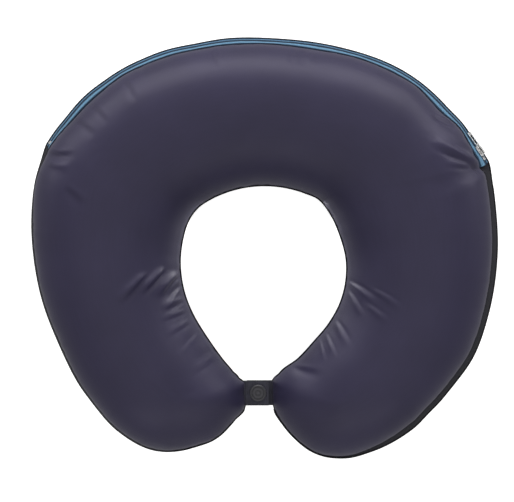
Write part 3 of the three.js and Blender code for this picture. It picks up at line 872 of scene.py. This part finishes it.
# Where the face is loosest: plan point, radius and share of the slack, in mm.
LOOSE_SPOTS = [((-80, -45), 48, 1.0), ((75, -50), 48, 1.0), ((150, 80), 42, 0.9), ((-150, 75), 38, 0.7),
               ((0, 145), 60, 0.45), ((-30, -105), 32, 0.7), ((20, -105), 32, 0.7)]
EVERYWHERE_LOOSE = 0.22


def looseness(points):
    share = np.full(len(points), EVERYWHERE_LOOSE)
    for centre, radius, amount in LOOSE_SPOTS:
        distance = np.linalg.norm(points[:, :2] - np.array(centre) * MM, axis=1) / (radius * MM)
        share = np.maximum(share, amount * np.exp(-distance ** 2))
    return share


def panel_object(name, panel, flip=False):
    columns, rows = panel.distance.shape
    return mesh_object(name, panel.points.reshape(-1, 3), grid_faces(columns, rows, flip), panel.uv())


def filled_out(obj, panel, cap, slack, frames):
    base = panel.points.reshape(-1, 3)
    moved = inflated(obj, panel.border_indices(), looseness(base), slack, frames)
    limit = np.minimum(cap, 0.45 * panel.distance.ravel())
    points = capped(base, moved, limit)
    points[:, 2] = np.maximum(points[:, 2], 0)
    move_vertices(obj, points)


def folded(points, normals, distance):
    lift = sum(fold_height(points, *fold) for fold in FOLDS) * smoothstep(distance, 0, 3.5 * MM)
    return points + normals * lift[:, None]


def cover_face(panel):
    obj = panel_object("cover_face", panel)
    filled_out(obj, panel, FACE_CAP, FACE_SLACK, FACE_FRAMES)
    points, normals = points_and_normals(obj)
    border = points[panel.border_indices()]
    panel.points = folded(points, normals, panel.distance.ravel()).reshape(panel.points.shape)
    applied(obj, "SUBSURF", levels=1)
    points, normals = points_and_normals(obj)
    move_vertices(obj, folded(points, normals, distance_from(border, points)[1]))
    seam_puckers(obj, border, 0.32, 2.4, (4.3, 6.7, 10.9), seed=7)
    seam_puckers(obj, border, 0.35, 7, (11, 17, 29), seed=8)
    finished_sheet(obj, FABRIC)
    placed(obj, "cover", "face_nylon", "top_panel")


def cover_underside(panel):
    obj = panel_object("cover_underside", panel, flip=True)
    filled_out(obj, panel, UNDER_CAP, FACE_SLACK / 2, UNDER_FRAMES)
    points, _ = points_and_normals(obj)
    panel.points = points.reshape(panel.points.shape)
    applied(obj, "SUBSURF", levels=1)
    border = points[panel.border_indices()]
    seam_puckers(obj, border, 0.3, 3.5, (6.1, 9.7, 15.1), seed=9)
    finished_sheet(obj, FABRIC)
    placed(obj, "cover", "underside", "bottom_panel")


face_layout = Layout((3.3) * MM)
under_layout = Layout((4.4) * MM)
top_panel = Panel(face_layout, band_lean, always(TOP_INSET), band_top, top_edge, TOP_HUMP)
bottom_panel = Panel(under_layout, always(0), always(0), band_bottom, bottom_edge, -BOTTOM_HUMP)
cover_face(top_panel)
cover_underside(bottom_panel)


# ---- Bands of the two arms ----

def side_band(name, node, start, end):
    """The ribbed strip between both panels on one arm, bulging a little between its seams."""
    us = np.linspace(start, end, round(abs(end - start) * 22))
    middle = (start + end) / 2
    rows = 9
    share = np.linspace(0, 1, rows)
    strip = np.empty((len(us), rows, 3))
    for j, s in enumerate(share):
        bulge = 0.5 * MM * math.sin(math.pi * s) * band_share(us)
        near_zip = np.minimum(np.abs(us - ZIP_START), np.abs(us - ZIP_END))
        row = us + math.copysign(ZIP_SLANT * s, middle - LAST / 2) * (1 - smoothstep(near_zip, 0, 0.6))
        strip[:, j, :2] = outer_inset(row, band_lean(row) * s - bulge)
        strip[:, j, 2] = band_bottom(row) + (band_top(row) - band_bottom(row)) * s
    uv = strip_uv(running_length(strip[:, 0]), share * 13 * MM)
    obj = mesh_object(name, strip.reshape(-1, 3), grid_faces(len(us), rows, flip=start < end), uv)
    return placed(finished_sheet(obj, 0.8 * MM), "cover", "band_fabric", node)


side_band("band_left", "side_band_left", BAND_START, ZIP_START)
side_band("band_right", "side_band_right", LAST - BAND_START, ZIP_END)


# ---- Swept pieces and stitches ----

TUBE_SIDES = 8
STITCH_SIDES = 6
# Rings of a stitch: their places along it, and their heights and widths as shares of its radius.
STITCH_PLACES = np.array([0, 0.12, 0.5, 0.88, 1])
STITCH_HEIGHTS = np.array([-1.1, 0.1, 0.35, 0.1, -1.1])
STITCH_WIDTHS = np.array([0.6, 1, 1, 1, 0.6])


def at_length(at, run, values):
    """Values of three coordinates at places along a path whose running length is given."""
    return np.stack([np.interp(at, run, values[:, k]) for k in range(3)], axis=-1)


def tube(path, radius):
    """Vertices and faces of a closed tube along a path, narrowing at both ends."""
    tangent = unit(np.gradient(path, axis=0))
    across = unit(np.cross(tangent, [0, 0, 1.0]))
    up = np.cross(across, tangent)
    count = len(path)
    taper = np.minimum(1, np.minimum(np.arange(count), count - 1 - np.arange(count)) / 4 + 0.25)
    angles = round_about(TUBE_SIDES)[None, :, None]
    ring = np.cos(angles) * across[:, None] + np.sin(angles) * up[:, None]
    points = path[:, None] + ring * (radius * taper)[:, None, None]
    return points.reshape(-1, 3), closed_tube(count, TUBE_SIDES)


def stitches(path, normals, radius, length, gap):
    """Meshes of the stitches of a seam: each one a short rounded bar that dips at its ends."""
    run = running_length(path)
    count = int(run[-1] / (length + gap))
    starts = (np.arange(count) + 0.5) * run[-1] / count - length / 2
    angles = round_about(STITCH_SIDES)[:, None]
    parts = []
    for start in starts:
        middle = at_length(start + STITCH_PLACES * length, run, path)
        out = at_length(start + length / 2, run, normals)
        out /= np.linalg.norm(out)
        middle += out * STITCH_HEIGHTS[:, None] * radius
        along = middle[-1] - middle[0]
        along /= np.linalg.norm(along)
        ring = np.cos(angles) * np.cross(along, out) + np.sin(angles) * out
        points = middle[:, None] + ring[None] * STITCH_WIDTHS[:, None, None] * radius
        parts.append((points.reshape(-1, 3), closed_tube(len(middle), STITCH_SIDES)))
    return parts


def sewn_on(name, parts, body, slot, thread=None):
    """A seam's piece made of small meshes, which stands for no CAD node."""
    obj = smooth_by_angle(joined_meshes(name, parts), 60)
    placed(obj, body, slot, material=THREADS.get(thread))


def seam_piping():
    """Thin black edge of the underside that shows all round the rims."""
    us = np.linspace(BAND_START, LAST - BAND_START, 900)
    covered = 0.3 * MM * (1 - smoothstep(us, ZIP_START - 1, ZIP_START + 0.3))
    outer = np.column_stack([outer_inset(us, covered - 0.1 * MM), band_bottom(us) + 0.2 * MM])
    tubes = [tube(outer, 0.75 * MM)]
    near, far = 0.7, 2.6           # spline points from a tip between which the neck rim has three rolls
    for start, end, spread in ((near, LAST - near, 0), (near, far, 0.55), (near, far, -0.55),
                               (LAST - near, LAST - far, 0.55), (LAST - near, LAST - far, -0.55)):
        us = np.linspace(start, end, round(abs(end - start) * 32))
        z = (top_edge(us) + bottom_edge(us)) / 2 + spread * MM * slot_share(us)
        tubes.append(tube(np.column_stack([inner_inset(us, 0.4 * MM), z]), 0.6 * MM))
    sewn_on("seam_piping", tubes, "cover", "underside")


def face_topstitch():
    """Navy stitches that hold the face's edge down beside the zip and the right band."""
    start, end = np.searchsorted(top_panel.layout.us, [ZIP_START - 0.3, LAST - 3.2])
    columns = top_panel.points[start:end, ::-1]
    points = np.array([at_length(1.9 * MM, running_length(edge), edge) for edge in columns[:, :12]])
    normals = unit(np.cross(columns[:, 0] - columns[:, 4], np.gradient(points, axis=0)))
    parts = stitches(points, normals, 0.2 * MM, 2.3 * MM, 0.9 * MM)
    sewn_on("face_topstitch", parts, "cover", "face_nylon", "navy")


seam_piping()
face_topstitch()


# ---- Zip ----

GAP = 0.3 * MM
BAND_TILT = math.atan2(BAND_LEAN - GAP, BAND_RISE + BAND_DROP + GAP)
BAND_INSET = (GAP + BAND_LEAN) / 2
BAND_Z = SEAM_Z + (BAND_RISE - BAND_DROP) / 2
INNER_PLATE = -2.7 * MM - GAP   # slider's plate behind the coils, out of the band
SLIDER_DEG = 35.5              # places on the zip, as angles about its centre
BOTTOM_STOP_DEG = 142.0
TOP_STOP_DEG = 33.7
STOP_LENGTH = 2.6 * MM


def zip_u(degrees):
    return ZIP_START + ARC_POINTS * (ZIP_LEFT - math.radians(degrees)) / (ZIP_LEFT - ZIP_RIGHT)


def on_band(u, up, out):
    """A place on the zip: distance up the band from its middle line, and out of it."""
    u = np.atleast_1d(np.asarray(u, float))
    spread = np.clip(up / TAPE_OUTER, 0, 1) ** 2 * waves(u, LEAN_WAVES)
    inward_by = BAND_INSET + up * math.sin(BAND_TILT) - out * math.cos(BAND_TILT) + spread
    z = BAND_Z + up * math.cos(BAND_TILT) + out * math.sin(BAND_TILT)
    return np.column_stack([outer_inset(u, inward_by), np.broadcast_to(z, len(u))])


def zip_tape(name, node, side, seed):
    """One tape, with a rounded edge at the slit and a slight waviness along it."""
    rng = np.random.default_rng(seed)
    us = np.linspace(ZIP_START + 0.01, ZIP_END - 0.01, 420)
    ups = np.array([0.7, 0.85, 1.15, 1.9, 2.9, 3.9, 4.9, 5.8, 6.6]) * MM
    bead = np.array([-0.12, 0.06, 0.1, 0, 0, 0, 0, 0, -0.05]) * MM
    length = running_length(on_band(us, 0, 0))
    sway = ripple(length, (13, 23, 41), rng)
    rows = []
    for up, lift in zip(ups, bead):
        loose = 0.22 * MM * sway * math.sin(math.pi * (up - TAPE_INNER) / (TAPE_OUTER - TAPE_INNER))
        stretch = 1 + ZIP_SLANT * (side * up / TAPE_OUTER + 1) / ARC_POINTS
        row = (ZIP_START + ZIP_END) / 2 * (1 - stretch) + us * stretch
        rows.append(on_band(row, side * up, lift + loose))
    strip = np.stack(rows, axis=1)
    uv = strip_uv(length, side * ups)
    obj = mesh_object(name, strip.reshape(-1, 3), grid_faces(len(us), len(ups), flip=side < 0), uv)
    return placed(finished_sheet(obj, 0.55 * MM), "cover", "zip_tape", node)


def tape_stitches():
    """Blue stitches along both tapes, which hold the coils behind them."""
    us = np.linspace(ZIP_START + 0.12, ZIP_END - 0.12, 700)
    parts = []
    for side in (1, -1):
        path = on_band(us, side * 2.0 * MM, 0.02 * MM)
        normals = on_band(us, side * 2.0 * MM, 1 * MM) - path
        parts += stitches(path, normals, 0.17 * MM, 1.9 * MM, 0.7 * MM)
    sewn_on("tape_stitches", parts, "cover", "zip_tape", "blue")


zip_tape("tape_upper", "zip_tape_upper", 1, 3)
zip_tape("tape_lower", "zip_tape_lower", -1, 4)
tape_stitches()
for coil in ("zip_coil_upper", "zip_coil_lower"):
    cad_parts[coil].data.materials.clear()
    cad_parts[coil].data.materials.append(MATERIALS["zip_coil"])


def stand_on_zip(obj, degrees):
    """Moves a mesh drawn with x up the band, y out of it and z along it to its place on the zip."""
    angle = math.radians(degrees)
    radial = Vector((math.cos(angle), math.sin(angle), 0))
    up = Vector((0, 0, 1)) * math.cos(BAND_TILT) - radial * math.sin(BAND_TILT)
    out = radial * math.cos(BAND_TILT) + Vector((0, 0, 1)) * math.sin(BAND_TILT)
    place = Matrix.Translation(on_band(zip_u(degrees), 0, 0)[0])
    obj.data.transform(place @ Matrix((up, out, up.cross(out))).transposed().to_4x4())
    return obj


def prism(outline, low, high, holes=()):
    """A bmesh solid of an outline with holes, from one height to another along z."""
    solid = bmesh.new()
    edges = []
    for loop in (outline, *holes):
        points = [solid.verts.new((x * MM, y * MM, low * MM)) for x, y in loop]
        edges += [solid.edges.new((a, b)) for a, b in zip(points, points[1:] + points[:1])]
    bmesh.ops.triangle_fill(solid, edges=edges, use_beauty=True)
    bmesh.ops.dissolve_limit(solid, angle_limit=0.01, verts=solid.verts, edges=solid.edges)
    grown = bmesh.ops.extrude_face_region(solid, geom=list(solid.faces))
    moved = [item for item in grown["geom"] if isinstance(item, bmesh.types.BMVert)]
    bmesh.ops.translate(solid, vec=(0, 0, (high - low) * MM), verts=moved)
    bmesh.ops.recalc_face_normals(solid, faces=solid.faces)
    return solid


def bevelled(name, solids, width):
    """One object of several bmesh solids, with rounded edges."""
    mesh = bpy.data.meshes.new(name)
    whole = bmesh.new()
    for solid in solids:
        part = bpy.data.meshes.new("part")
        solid.to_mesh(part)
        solid.free()
        whole.from_mesh(part)
        bpy.data.meshes.remove(part)
    whole.to_mesh(mesh)
    whole.free()
    obj = applied(in_scene(name, mesh), "BEVEL", width=width * MM, segments=2,
                  limit_method="ANGLE", angle_limit=math.radians(35))
    return smooth_by_angle(obj, 40)


def turned_to(solid, matrix):
    bmesh.ops.transform(solid, matrix=matrix, verts=solid.verts)
    return solid


def rounded_box(x0, x1, y0, y1, radius, steps=5):
    """Points of a rectangle with round corners."""
    points = []
    for cx, cy, start in ((x1, y0, -90), (x1, y1, 0), (x0, y1, 90), (x0, y0, 180)):
        centre_x = cx - radius if cx == x1 else cx + radius
        centre_y = cy - radius if cy == y1 else cy + radius
        for k in range(steps + 1):
            angle = math.radians(start + 90 * k / steps)
            points.append((centre_x + radius * math.cos(angle), centre_y + radius * math.sin(angle)))
    return points


FLAT = Matrix.Rotation(-math.pi / 2, 4, "X")       # turns a prism's z to +y and its y to -z


def slider_body():
    """Two rounded plates joined by a web, with flanges around the coils and a bridge for the pull."""
    plate = [(-3.1, -4.5), (3.1, -4.5), (4.0, -2.6), (4.0, 2.2), (3.4, 3.8), (2.2, 4.5),
             (-2.2, 4.5), (-3.4, 3.8), (-4.0, 2.2), (-4.0, -2.6)]
    low = INNER_PLATE / MM
    solids = [turned_to(prism(plate, 0.3, 1.5), FLAT), turned_to(prism(plate, low - 1, low), FLAT)]
    solids.append(turned_to(prism(rounded_box(-0.5, 0.5, -3.4, 3.4, 0.4), low - 0.1, 0.4), FLAT))
    for side in (-1, 1):
        edges = sorted((side * 2.95, side * 4.0))
        solids.append(turned_to(prism(rounded_box(*edges, -2.6, 2.2, 0.3), low - 0.1, -1.1), FLAT))
    arch = [(-3.6, 1.2), (-3.6, 2.7), (-2.6, 3.9), (2.6, 3.9), (3.6, 2.7), (3.6, 1.2),
            (2.7, 1.2), (2.7, 3.0), (-2.7, 3.0), (-2.7, 1.2)]
    solids.append(turned_to(prism(arch, -0.8, 0.8), Matrix.Rotation(-math.pi / 2, 4, "Y")))
    obj = stand_on_zip(bevelled("slider_casting", solids, 0.22), SLIDER_DEG)
    placed(obj, "slider", "nickel", "slider_body")


def slider_pull():
    """Flat frame with an eye around the bridge and a longer slot, lying a little askew."""
    holes = [rounded_box(-1.4, 1.4, 0.45, 4.6, 0.25), rounded_box(-1.4, 1.4, 5.7, 13.7, 0.7)]
    frame_solid = prism(rounded_box(-2.4, 2.4, -0.45, 16.5, 0.9), -0.35, 0.35, holes)
    lolling = Matrix.Rotation(math.radians(-13), 4, "Z")
    place = Matrix.Translation((0, 2.4 * MM, 0)) @ lolling @ Matrix.Rotation(math.pi / 2, 4, "X")
    turned_to(frame_solid, place)
    obj = stand_on_zip(bevelled("pull_frame", [frame_solid], 0.16), SLIDER_DEG)
    placed(obj, "pull", "nickel", "slider_pull")


def stop(name, node, points, degrees):
    """A small clamp bent round the edge of one or both coils."""
    half = STOP_LENGTH / MM / 2
    obj = stand_on_zip(bevelled(name, [prism(points, -half, half)], 0.14), degrees)
    placed(obj, "cover", "nickel", node)


def zip_stops():
    low, top, plate, half = INNER_PLATE / MM, 0.3, 0.8, 2.8
    right = [(half, top), (0.5, top), (0.5, low), (half, low), (half, low - plate)]
    left = [(-x, y) for x, y in right[::-1]]
    whole = [(-half, top + plate), (half, top + plate), *right, *left]
    stop("bottom_clamp", "zip_bottom_stop", whole, BOTTOM_STOP_DEG)
    clamp = [(0.2, top + plate), (half, top + plate), (half, top), (0.5, top), (0.5, low),
             (half, low), (half, low - plate), (0.2, low - plate)]
    stop("top_clamp_upper", "zip_top_stop_upper", clamp, TOP_STOP_DEG)
    stop("top_clamp_lower", "zip_top_stop_lower", [(-x, y) for x, y in clamp], TOP_STOP_DEG)


slider_body()
slider_pull()
zip_stops()


# ---- Tabs and press stud ----

SNAP = (-4.9, -110.0)          # the press stud's axis, in mm like every size of this section
STUD_SIDES = 72
TAB_HALF = 9.5
TAB_FACE = 0.8                 # half of the webbing's thickness
TAB_STEP = 0.22                # between the rings of a tab
RIB_HEIGHT, RIB_PERIOD = 0.15, 1.3
HEM_HEIGHT, HEM_GROOVE = 0.28, 0.22
LEFT_Z = SEAM_Z / MM + TAB_RISE / MM
RIGHT_Z = SEAM_Z / MM - TAB_RISE / MM


def webbing_tab(name, node, start, end, middle_z, hem_from, facing):
    """A tab of ribbed webbing whose free end is folded under and sewn. facing is 1 if it looks up."""
    count = round(abs(end - start) / TAB_STEP)
    x = np.linspace(start, end, count)
    direction = math.copysign(1, end - start)
    across = np.linspace(-TAB_HALF, TAB_HALF, 27)
    travelled = (x - hem_from) * direction
    hem = HEM_HEIGHT * smoothstep(travelled, -0.5, 0.3)
    free = np.abs(end - x)
    nose = np.sqrt(np.clip(1 - (1 - np.clip(free / 0.9, 0, 1)) ** 2, 0.02, 1))
    ribs = RIB_HEIGHT * np.sin(2 * math.pi * x / RIB_PERIOD)
    near_cap = np.hypot(x[:, None] - SNAP[0], across[None])
    flat = smoothstep(near_cap, 5.5, 7.5)
    edge = 0.16 * np.exp(-((TAB_HALF - np.abs(across)) / 0.9) ** 2)
    seam = -HEM_GROOVE * np.exp(-((travelled - 0.55) / 0.35) ** 2)
    outer = TAB_FACE + (hem + seam)[:, None] * 0.9 + ribs[:, None] * flat + edge[None]
    rounded = np.sqrt(np.clip(1 - (np.abs(across) / TAB_HALF) ** 24, 0.05, 1))
    thick = outer * nose[:, None] * rounded[None]
    thin = np.full_like(thick, TAB_FACE) * nose[:, None] * rounded[None]
    above, below = (thick, thin) if facing > 0 else (thin, thick)
    xs = np.repeat(x[:, None], len(across), axis=1)
    ys = np.repeat(across[None], len(x), axis=0) + SNAP[1]
    upper = np.stack([xs, ys, middle_z + above], axis=-1)
    lower = np.stack([xs, ys, middle_z - below], axis=-1)[:, ::-1]
    rings = np.concatenate([upper, lower], axis=1) * MM
    sides = rings.shape[1]
    faces = closed_tube(count, sides, flip=direction < 0)
    uv = np.stack([xs, ys - SNAP[1]], axis=-1) * MM
    uv = np.concatenate([uv, uv[:, ::-1]], axis=1).reshape(-1, 2)
    obj = mesh_object(name, rings.reshape(-1, 3), faces, uv)
    return placed(smooth_by_angle(obj, 50), None, "webbing", node)


def turned(name, node, body, profile, z):
    """A round piece of the press stud: radius and height in mm, turned about the stud's axis."""
    angles = round_about(STUD_SIDES)
    rings = [
        [(r * math.cos(a) + SNAP[0], r * math.sin(a) + SNAP[1], z + y) for a in angles]
        for r, y in profile
    ]
    faces = grid_faces(len(profile), STUD_SIDES, ring=True)
    obj = mesh_object(name, np.array(rings).reshape(-1, 3) * MM, faces)
    return placed(smooth_by_angle(welded(obj, 1e-6), 32), body, "snap_plastic", node)


def softened(profile, reach):
    """The profile with its inner corners rounded."""
    points = [np.array(p, float) for p in profile]
    result = [tuple(points[0])]
    for before, corner, after in zip(points, points[1:], points[2:]):
        r = min(reach, 0.45 * np.linalg.norm(corner - before), 0.45 * np.linalg.norm(after - corner))
        a = corner + (before - corner) / np.linalg.norm(before - corner) * r
        b = corner + (after - corner) / np.linalg.norm(after - corner) * r
        for t in np.linspace(0, 1, 5):
            result.append(tuple((1 - t) ** 2 * a + 2 * t * (1 - t) * corner + t * t * b))
    result.append(tuple(points[-1]))
    return result


def press_stud():
    """Four round pieces. Heights are from the side of the webbing that a piece lies on."""
    through = 2 * TAB_FACE         # how far the stems of the cap and the back reach through it
    cap = [(0, -through), (1.5, -through), (1.5, 0.3), (6.25, 0.3), (6.25, 1.15), (5.9, 1.6), (5.0, 1.66),
           (4.75, 1.0), (4.25, 1.0), (4.0, 1.5), (2.3, 1.6), (2.1, 1.1), (1.6, 1.1), (1.4, 1.6), (0, 1.64)]
    socket = [(0, -0.3), (5.4, -0.3), (5.4, -1), (4.6, -1.3), (4.6, -2.5),
              (3.2, -2.5), (3.2, -0.8), (0, -0.8)]
    stud = [(0, 0.3), (5, 0.3), (5, 0.9), (2.1, 1.0), (2.1, 1.4),
            (2.4, 1.9), (2.2, 2.4), (1.4, 2.7), (0, 2.7)]
    back = [(0, -1.6), (5.45, -1.6), (6.25, -0.9), (6.25, -0.3),
            (1.5, -0.3), (1.5, through), (0, through)]
    turned("stud_cap_face", "snap_cap", "snap_tab", softened(cap, 0.12), LEFT_Z + TAB_FACE)
    turned("stud_socket", "snap_socket", "snap_tab", softened(socket, 0.15), LEFT_Z - TAB_FACE)
    turned("stud_post", "snap_stud", "stud_tab", softened(stud, 0.15), RIGHT_Z + TAB_FACE)
    turned("stud_cap_back", "snap_stud_cap", "stud_tab", softened(back, 0.22), RIGHT_Z - TAB_FACE)


def hem_stitches(name, body, x, z):
    path = np.column_stack([np.full(40, x), np.linspace(-8.6, 8.6, 40) + SNAP[1], np.full(40, z)]) * MM
    normals = np.tile([0, 0, math.copysign(1, z - SEAM_Z / MM)], (40, 1)).astype(float)
    parts = stitches(path, normals, 0.16 * MM, 1.7 * MM, 0.6 * MM)
    sewn_on(name, parts, body, "webbing", "black")


tab_left = webbing_tab("tab_left", "strap_left", -20, 3.4, LEFT_Z, 1.0, 1)
tab_right = webbing_tab("tab_right", "strap_right", 10.5, -13.2, RIGHT_Z, -11.4, -1)
press_stud()
hem_stitches("hem_stitches_left", "snap_tab", 1.55, LEFT_Z + TAB_FACE + 0.05)
hem_stitches("hem_stitches_right", "stud_tab", -11.95, RIGHT_Z - TAB_FACE - 0.05)
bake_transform(tab_left)
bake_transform(tab_right)


# ---- Insert ----

CASE_INSET = 6 * MM
CASE_ZIP_INSET = 10.5 * MM
CASE_DROP = 3 * MM
FILL_CLEAR = 2.2 * MM


def case_outer(u):
    return CASE_INSET + (CASE_ZIP_INSET - CASE_INSET) * band_share(u)


def insert_case():
    """The two halves of the sewn case that holds the filling."""
    layout = Layout(5 * MM)
    radius = CROWN_RADIUS - CASE_INSET
    halves = (("case_top", "inner_liner_top", 1, TOP_HUMP - CASE_DROP),
              ("case_bottom", "inner_liner_bottom", -1, CASE_DROP - BOTTOM_HUMP))
    for name, node, side, hump in halves:
        def edge(u, side=side):
            return seam_height(u) + side * 0.15 * MM
        panel = Panel(layout, case_outer, always(CASE_INSET), edge, edge, hump, radius, CASE_DROP)
        obj = panel_object(name, panel, flip=side < 0)
        border = panel.points.reshape(-1, 3)[panel.border_indices()]
        applied(obj, "SUBSURF", levels=1)
        seam_puckers(obj, border, 0.35, 5, (8, 13, 21), seed=11 + side)
        placed(finished_sheet(obj, 0.7 * MM), "cover", "case_fabric", node)


def fibre_filling():
    """The loose fibre inside the case, in soft lumps."""
    layout = Layout(6 * MM)
    columns, rows = len(layout.us), len(layout.rows)
    radius = CROWN_RADIUS - CASE_INSET - FILL_CLEAR
    parts = []
    for side, hump in ((1, TOP_HUMP - CASE_DROP - FILL_CLEAR), (-1, CASE_DROP + FILL_CLEAR - BOTTOM_HUMP)):
        panel = Panel(layout, lambda u: case_outer(u) + FILL_CLEAR, always(CASE_INSET + FILL_CLEAR),
                      seam_height, seam_height, hump, radius, CASE_DROP + FILL_CLEAR)
        parts.append((panel.points.reshape(-1, 3), grid_faces(columns, rows, side < 0)))
    obj = joined_meshes("fibre_filling", parts)
    applied(welded(obj, 1e-5), "SUBSURF", levels=1)
    points, normals = points_and_normals(obj)
    places = [Vector(point) for point in points]
    lumps = np.array([noise.noise(place * 60) + 0.5 * noise.noise(place * 140) for place in places])
    move_vertices(obj, points - normals * (0.5 * MM * (1 + lumps))[:, None])
    placed(obj, "cover", "fibre", "filling")


insert_case()
fibre_filling()


# ---- Camera, floor and light ----

VIEW_WIDTH = 389.098 * MM      # what the picture takes in at the seam's height
CAMERA_SHIFT = (-5.6775 * MM, -2.6495 * MM)
CAMERA_HEIGHT = 2.4            # above the seam


def camera():
    data = bpy.data.cameras.new("camera")
    data.sensor_width = 36
    data.lens = CAMERA_HEIGHT * data.sensor_width / VIEW_WIDTH
    obj = in_scene("camera", data)
    obj.location = (*CAMERA_SHIFT, SEAM_Z + CAMERA_HEIGHT)
    bpy.context.scene.camera = obj


def area_light(name, place, target, size, power):
    data = bpy.data.lights.new(name, "AREA")
    data.shape = "RECTANGLE"
    data.size, data.size_y = size
    data.energy = power
    obj = in_scene(name, data)
    obj.location = place
    obj.rotation_euler = (Vector(target) - Vector(place)).to_track_quat("-Z", "Y").to_euler()
    obj.visible_camera = False


def floor():
    size = 6
    corners = [(-size, -size, 0), (size, -size, 0), (size, size, 0), (-size, size, 0)]
    obj = mesh_object("floor", corners, [(0, 1, 2, 3)], smooth=False)
    paper = Shading("white_paper", Roughness=0.9, Emission_Color=(1, 1, 1, 1), Emission_Strength=0.8)
    grain = paper.noise(40, 2)
    paper.colour(paper.dyed(grain, WHITE, (0.3, 0.90), (0.7, 0.93)))
    obj.data.materials.append(paper.material)
    obj.visible_glossy = obj.visible_diffuse = False


camera()
floor()
area_light("back_softbox", (0, 1.55, 0.54), (0, 0.05, 0.05), (2.6, 0.75), 28)
area_light("back_right", (1.45, 1.0, 0.22), (0, 0, 0.05), (1.1, 0.25), 6)
area_light("back_left", (-1.45, 1.0, 0.22), (0, 0, 0.05), (1.1, 0.25), 5)
area_light("front", (0, -1.5, 1.0), (0, 0, 0.05), (2.4, 0.8), 6)
area_light("overhead", (0, -0.2, 2.3), (0, 0, 0), (3.0, 3.0), 10)
area_light("neck_fill", (0, 0.03, 0.03), (0, -0.1, 0.06), (0.10, 0.05), 0.085)
world = bpy.data.worlds.new("studio")
world.use_nodes = True
world.node_tree.nodes["Background"].inputs["Color"].default_value = (1, 1, 1, 1)
world.node_tree.nodes["Background"].inputs["Strength"].default_value = 0.46
bpy.context.scene.world = world
bpy.context.scene.view_settings.view_transform = "Standard"
